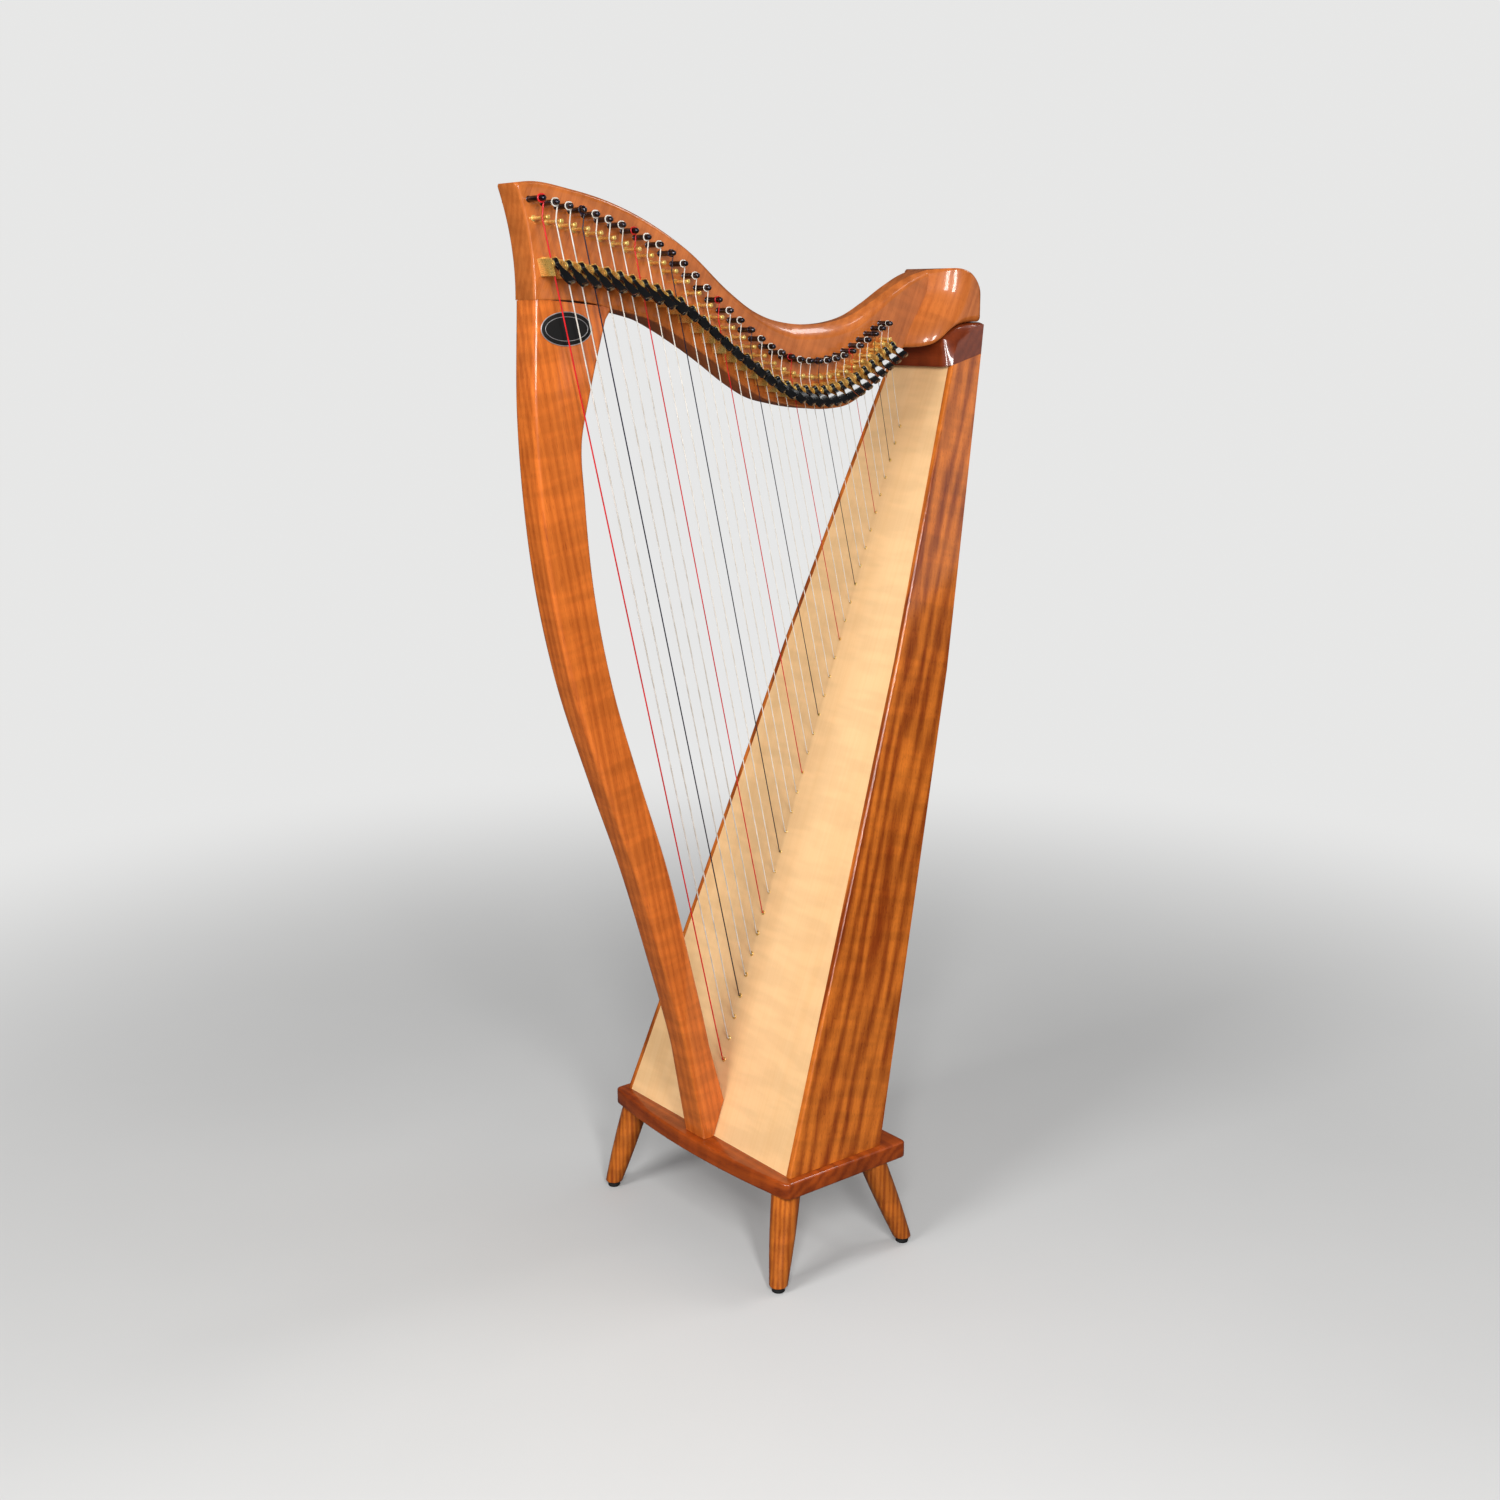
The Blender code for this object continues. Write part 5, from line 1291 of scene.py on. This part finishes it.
@dataclass
class Stringing:
    """Strings, eyelets, tuning pins and bridge pins."""

    runs: list[Run]
    drawn: float = 0.76
    knot: float = 0.0078
    # an eyelet's radius for bass and treble, its depth, its wall, and its hole over the string
    eyelet: tuple = (0.0034, 0.0023)
    eyelet_deep: float = 0.003
    eyelet_wall: float = 0.0004
    eyelet_hole: float = 1.25
    eyelet_flat: float = 0.9
    # a tuning pin's collar as (height, how much wider), and its eased end past the string
    collar: tuple = ((-0.001, 0.0005), (0.0006, 0.0005), (0.0010, 0.0005), (0.0014, 0.0))
    pin_past: float = 0.0063
    pin_end: float = 0.0032
    pin_ease: float = 0.70
    # share of the key's radius at each height over the face
    key_radius: float = 0.0034
    key: tuple = ((-0.001, 1.0), (0.004, 1.0), (0.005, 0.97), (0.010, 0.84), (0.011, 0.70))
    # a bridge pin's foot, and its groove measured from the string, as for the collar
    bridge_foot: tuple = ((-0.001, 0.0014), (0.0008, 0.0014), (0.0012, 0.0))
    groove: tuple = ((-0.0016, 0.0), (-0.0012, 0.0004), (-0.0004, 0.0), (0.0004, 0.0))
    groove_end: float = 0.0012
    bridge_past: tuple = (0.0080, 0.0032)
    head_long: float = 0.0052
    head_radius: float = 0.0027
    head_cone: tuple = (0.0002, 0.0008)
    dome: float = 0.0009
    dome_ease: float = 0.75

    def strings(self) -> None:
        """Round strings from the board over the bridge pin, wound on at the top.

        Each is drawn at a share of the gauge that its turns and pins are spaced for.
        """
        pieces = {finish: Surface(f"strings_{finish.value.slot.value}")
                  for finish in (Finish.RED, Finish.DARK, Finish.NYLON, Finish.WOUND)}
        for run in self.runs:
            knot = run.seat - run.out * self.knot
            long = run.foot + (run.bridge - run.foot) * np.linspace(0, 1, 24)[:, None]
            path = np.vstack([knot, long, run.winding()])
            steps = np.linalg.norm(np.diff(path, axis=0), axis=1)
            pieces[run.finish].grid(swept(path, self.drawn * run.radius, 10),
                                    np.append(0.0, np.cumsum(steps)))
        for finish, piece in pieces.items():
            piece.make(finish, "strings" if finish is Finish.RED else "", sharp=60)

    def eyelets(self) -> None:
        """Rolled brass eyelets in the board, with the string through each."""
        piece = Surface("string_eyelets")
        a = np.linspace(-0.2, math.pi + 0.5, 9)
        for run in self.runs:
            size = self.eyelet[0] if run.number < run.scale.wound else self.eyelet[1]
            tube = 0.5 * (size - run.radius * self.eyelet_hole)
            lip = columns(self.eyelet_flat * tube * np.sin(a), size - tube + tube * np.cos(a))
            profile = np.vstack([[-self.eyelet_deep, size - self.eyelet_wall], lip,
                                 [-self.eyelet_deep, size - 2 * tube]])
            piece.grid(turned(run.seat, run.out, -NEAR, profile, circle(24)), loop=True)
        piece.make(Finish.BRASS, sharp=180)

    def tuning_pins(self) -> None:
        """Round blued pins with eased ends, and the tapered square for the key behind."""
        piece = Surface("tuning_pins")
        key = np.array(self.key) * (1.0, self.key_radius)
        cos, sin = quarter(6)
        for run in self.runs:
            r = run.scale.pin_radius
            end = columns(run.standoff + self.pin_past + self.pin_end * (1 - sin),
                          r * (1 - self.pin_ease * cos))
            profile = np.vstack([np.add(self.collar, (0.0, r)), end])
            piece.grid(pin(run.pin, -1, profile, circle(24)))
            piece.grid(pin(run.pin, 1, key, circle(24, 0.75)))
        piece.make(Finish.BLUED)

    def bridge_pins(self) -> None:
        """Brass pins: a collar on the neck, a shank, a groove for the string, a domed head."""
        piece = Surface("bridge_pins")
        cos, sin = quarter(6)
        for run in self.runs:
            at, r = run.standoff, run.scale.bridge_radius
            past = at + between(self.bridge_past, run.place)
            start = max(at + self.groove_end, past - self.head_long)
            wider, rise = self.head_cone
            profile = np.vstack([
                np.add(self.bridge_foot, (0.0, r)), np.add(self.groove, (at, r)),
                (start, r + wider), (start + rise, self.head_radius),
                columns(past - self.dome * sin, self.head_radius * (1 - self.dome_ease * cos))])
            piece.grid(pin(run.bridge_pin, -1, profile, circle(20)))
        piece.make(Finish.BRASS)

    def build(self) -> None:
        """Make the stringing."""
        self.strings()
        self.eyelets()
        self.tuning_pins()
        self.bridge_pins()


@dataclass
class Levers:
    """The sharping levers: a brass body on the neck and a black lever in each."""

    runs: list[Run]
    # place from bass to treble, then the arm's length and its angle under the horizontal
    lengths: tuple = ((0.0, 0.0355), (0.60, 0.0350), (0.68, 0.0340), (0.76, 0.0310),
                      (0.85, 0.0280), (1.0, 0.0260))
    angles: tuple = (42.0, 36.0)
    head: float = 0.0044
    neck_half: float = 0.0026
    paddle_half: float = 0.0054
    thickness: float = 0.0040
    arm_start: float = 0.0078
    paddle_start: float = 0.30
    paddle_full: float = 0.56
    tip: float = 0.0034
    tip_inset: float = 0.0024
    tip_round: float = math.sqrt(0.96)
    hollow: float = 0.0011
    hollow_power: float = 1.4
    hollow_under: float = 0.2
    taper: float = 0.45
    lip: float = 0.0005
    lip_run: tuple = (0.0030, 0.0026)
    # half the angle of the head that the arm takes up
    root: float = 0.54
    above: float = 0.0058
    below: float = 0.0142
    cheek: float = 0.0014
    crown: float = 0.0042
    # how far above and below the axis a cheek stays level
    cheek_runs: tuple = (0.0044, 0.00528)
    base: float = 0.0020
    toe: float = 0.0040
    fret_run: float = 0.0012
    fret_gap: float = 0.0006
    rooted: float = 0.001
    # how far a rivet's rings stand out of the cheeks, and their radii
    rivet: tuple = ((-0.0006, 0.0008), (-0.0006, 0.0014), (0.0, 0.0016))

    def bodies(self) -> None:
        """Brass bodies: a base on the neck, two cheeks round the axis, a fret between them.

        A cheek's top is a circle round the axis, held above the straight line from the axis'
        level down to the toe. Between the cheeks the bed rises to the fret behind the string.
        """
        piece, rivets = Surface("lever_bodies"), Surface("lever_rivets")
        d = np.unique(np.concatenate([
            np.linspace(-self.above, self.below, 17), np.linspace(-self.crown, self.crown, 17),
            self.fret_run * np.array([-1.0, -0.8, 0.8, 1.0])]))
        inner = self.neck_half + GAP
        outer = inner + self.cheek
        start, far = self.cheek_runs
        fall = np.where(d < 0, np.clip(-d - start, 0, None) / (self.above - start),
                        np.clip(d - far, 0, None) / (self.below - far))
        arc = np.sqrt(np.clip(self.crown**2 - d**2, 0, None))
        a = np.array([-outer, -outer, -inner, -inner, inner, inner, outer, outer])[:, None]
        half = np.array(self.rivet) - (outer, 0.0)
        bolt = np.vstack([half, half[::-1] * (-1, 1)])
        for run in self.runs:
            centre = run.lever_centre()
            face = LINES.half_thick - abs(centre[1])
            crest = np.maximum(arc, fall * (face + self.base + self.toe))
            fret = -(run.string_depth(d) + run.radius + self.fret_gap)
            bed = np.where(np.abs(d) < 0.9 * self.fret_run, fret, face + self.base)
            foot = face - self.rooted
            n = columns(foot, crest, crest, bed, bed, crest, crest, foot)[..., None]
            piece.grid(centre + a * run.across + d[:, None, None] * run.down + n * NEAR)
            rivets.grid(turned(centre, run.across, run.down, bolt, circle(16)))
        piece.make(Finish.BRASS, sharp=30, bevel=0.0003, steps=2)
        rivets.make(Finish.BRASS, sharp=30)

    def outline(self, run: Run) -> tuple[Array, int]:
        """A lever seen along its axis: (out, down, half width) points and the arm's count.

        The arm is a leaf: its half width eases out and in again as a quarter circle at the
        tip. Its upper side is hollow by a sine and ends in a small lip. The head is a circle
        whose radius grows by cos^3 towards the string to make the cam's lobe.
        """
        angle = math.radians(between(self.angles, run.place))
        length = float(through(self.lengths, run.place))
        c, s = math.cos(angle), math.sin(angle)
        half = self.thickness / 2
        t = bell(np.linspace(0, 1, 22))
        reach = between((self.arm_start, length), t)
        grow = smooth((reach / length - self.paddle_start)
                      / (self.paddle_full - self.paddle_start))
        tip = np.clip((reach - length + self.tip) / self.tip, 0, 1)
        wide = (between((self.neck_half, self.paddle_half), grow)
                - self.tip_inset * rounded(self.tip_round * tip))
        hollow = self.hollow * np.sin(math.pi * t**self.hollow_power)
        lip = self.lip * smooth((reach - length + self.lip_run[0]) / self.lip_run[1])
        upper, lower = (columns(reach * c + side * s, reach * s - side * c, wide) for side in
                        (half - hollow + lip,
                         -half * (1 - self.taper * t) - self.hollow_under * hollow))
        around = angle - self.root - (TAU - 2 * self.root) * np.linspace(0, 1, 30)
        lobe = np.clip(np.cos(around + math.pi / 2), 0, 1)**3
        radius = between((self.head, run.scale.lobe), lobe)
        head = columns(radius * np.cos(around), radius * np.sin(around), self.neck_half)
        return np.vstack([upper, head, lower[::-1]]), len(upper)

    def lever(self, run: Run) -> None:
        """One lever, its two faces joined round the outline, riding on its own body."""
        outline, arm = self.outline(run)
        out, down, wide = outline.T[..., None]
        count = len(outline)
        flat = run.lever_centre() + down * run.down + out * NEAR
        points = np.vstack([flat - wide * run.across, flat + wide * run.across])
        faces = [[k, (k + 1) % count, count + (k + 1) % count, count + k] for k in range(count)]
        flats = [list(range(arm - 1, count - arm + 1))]
        flats += [[k, k + 1, count - 2 - k, count - 1 - k] for k in range(arm - 1)]
        for face in flats:
            faces += [face[::-1], [count + k for k in face]]
        name = f"lever_{run.number + 1:02d}"
        piece = Surface(f"{name}_handle")
        piece.strip(points, faces)
        piece.make(Finish.BLACK, name, name, sharp=38, bevel=0.0006)

    def build(self) -> None:
        """Make the bodies and all levers."""
        self.bodies()
        for run in self.runs:
            self.lever(run)


# Studio


def aim(item: bpy.types.Object, place: Triple, right: Array, up: Array, back: Array) -> None:
    """Put an object at a place with its own X, Y and Z along three directions."""
    turn = Matrix(np.column_stack([right, up, back]).tolist())
    item.matrix_world = Matrix.Translation(place) @ turn.to_4x4()


@dataclass(frozen=True)
class Lamp:
    """A rectangular lamp at a place that looks at a target, with its size and power in watts."""

    name: str
    place: Triple
    target: Triple
    size: tuple[float, float]
    power: float

    def build(self) -> None:
        """Make the lamp."""
        data = bpy.data.lights.new(self.name, "AREA")
        data.shape = "RECTANGLE"
        data.size, data.size_y = self.size
        data.energy = self.power
        way = unit(np.subtract(self.place, self.target))
        side = unit(np.cross((0.0, 0.0, 1.0), way))
        aim(new_object(self.name, data), self.place, side, np.cross(way, side), way)


@dataclass
class Studio:
    """Camera at the photograph's angle, pale floor, soft lamps."""

    frame_pixels: float = 1500.0
    focal_pixels: float = 1825.608
    sensor: float = 36.0
    place: Triple = (-1.48516, -1.87206, 1.26322)
    yaw: float = math.radians(38.37583)
    pitch: float = math.radians(13.68683)
    roll: float = math.radians(-0.14858)
    # what the camera sees of the background, and what bounced and mirrored rays find there
    pale: tuple = (0.80, 0.80, 0.795, 1.0)
    soft: tuple = (0.26, 0.26, 0.265, 1.0)
    soft_mirrored: tuple = (0.05, 0.05, 0.05, 1.0)
    # the floor's half length and its tones, the same two as the rays find them, and its fade
    reach: float = 60.0
    floor_tones: tuple = ((0.83, 0.83, 0.825), (0.81, 0.81, 0.805))
    floor_bounced: tuple = (0.16, 0.16, 0.16, 1.0)
    floor_mirrored: tuple = (0.07, 0.07, 0.07, 1.0)
    fade: tuple = (0.7, 2.6)
    lamps: tuple = (
        Lamp("front", (-3.0, -0.3, 2.4), (0.0, 0.0, 0.7), (1.2, 1.2), 56.0),
        Lamp("strip near", (-1.15, -2.35, 1.8), (0.0, 0.0, 0.95), (0.26, 1.4), 42.0),
        Lamp("strip far", (-1.80, -2.00, 1.8), (0.0, 0.0, 0.95), (0.24, 1.4), 34.0),
        Lamp("over paddles", (0.62, -0.47, 2.66), (0.60, -0.47, 1.2), (0.12, 0.36), 1.2),
        Lamp("over valley", (1.47, -0.31, 2.67), (0.12, 0.0, 1.2), (0.6, 0.6), 12.0),
        Lamp("sheen", (1.74, -1.95, 1.40), (0.0, -0.02, 1.25), (1.6, 0.8), 3.0))

    def camera(self) -> None:
        """The camera: forward from yaw and pitch, then turned by the roll."""
        cy, sy = math.cos(self.yaw), math.sin(self.yaw)
        cp, sp = math.cos(self.pitch), math.sin(self.pitch)
        forward, right = np.array([sy * cp, cy * cp, -sp]), np.array([cy, -sy, 0.0])
        up = np.cross(right, forward)
        c, s = math.cos(self.roll), math.sin(self.roll)
        data = bpy.data.cameras.new("camera")
        data.sensor_width = self.sensor
        data.lens = self.focal_pixels * self.sensor / self.frame_pixels
        item = new_object("camera", data)
        aim(item, self.place, right * c + up * s, up * c - right * s, -forward)
        bpy.context.scene.camera = item

    def floor(self) -> None:
        """A wide pale floor that fades into the background's colour far from the harp.

        Its own shading shows near the harp. Only camera rays see it pale: mirrored and
        bounced rays see it darker, so it puts no more light on the harp.
        """
        mesh = bpy.data.meshes.new("floor")
        corners = [(x * self.reach, y * self.reach, 0)
                   for x, y in ((-1, -1), (1, -1), (1, 1), (-1, 1))]
        mesh.from_pydata(corners, [], [(0, 1, 2, 3)])
        finish, board, shader, place = blank("pale floor")
        path = board.add("NodeLightPath").outputs
        colour = board.mix(board.noise(place, 3.0, 3.0), *map(rgba, self.floor_tones))
        colour = board.mix(path["Is Camera Ray"], self.floor_bounced, colour)
        colour = board.mix(path["Is Glossy Ray"], colour, self.floor_mirrored)
        board.fill(shader, Base_Color=colour, Roughness=0.6, Specular_IOR_Level=0.2)
        away = board.add("NodeVectorMath", {"operation": "LENGTH"}, in0=place).outputs[1]
        fade = board.times(board.ramp(away, *self.fade), path["Is Camera Ray"])
        glow = board.add("NodeEmission", Color=self.pale, Strength=1.0)
        mixed = board.add("NodeMixShader", in0=fade, in1=shader.outputs[0], in2=glow.outputs[0])
        board.fill(board.tree.nodes["Material Output"], Surface=mixed.outputs[0])
        mesh.materials.append(finish)
        new_object("floor", mesh)

    def world(self) -> None:
        """Soft light from all round, and a pale background for the camera only."""
        world = bpy.data.worlds.new("studio")
        bpy.context.scene.world = world
        world.use_nodes = True
        board = Board(world.node_tree)
        path = board.add("NodeLightPath").outputs
        soft = board.mix(path["Is Glossy Ray"], self.soft, self.soft_mirrored)
        board.fill(world.node_tree.nodes["Background"], Strength=1.0,
                   Color=board.mix(path["Is Camera Ray"], soft, self.pale))

    def build(self) -> None:
        """Set the stage."""
        self.camera()
        self.floor()
        self.world()
        for lamp in self.lamps:
            lamp.build()
        bpy.context.scene.view_settings.view_transform = "Standard"


def main() -> None:
    """Build the harp's pieces and the studio."""
    logging.basicConfig(level=logging.INFO, format="%(message)s")
    box = Soundbox()
    runs = string_runs(Scale(), box)
    for part in (Stand(), box, Column(), Neck(), Stringing(runs), Levers(runs), Studio()):
        LOG.info("building %s", type(part).__name__)
        part.build()


if __name__ == "__main__":
    main()
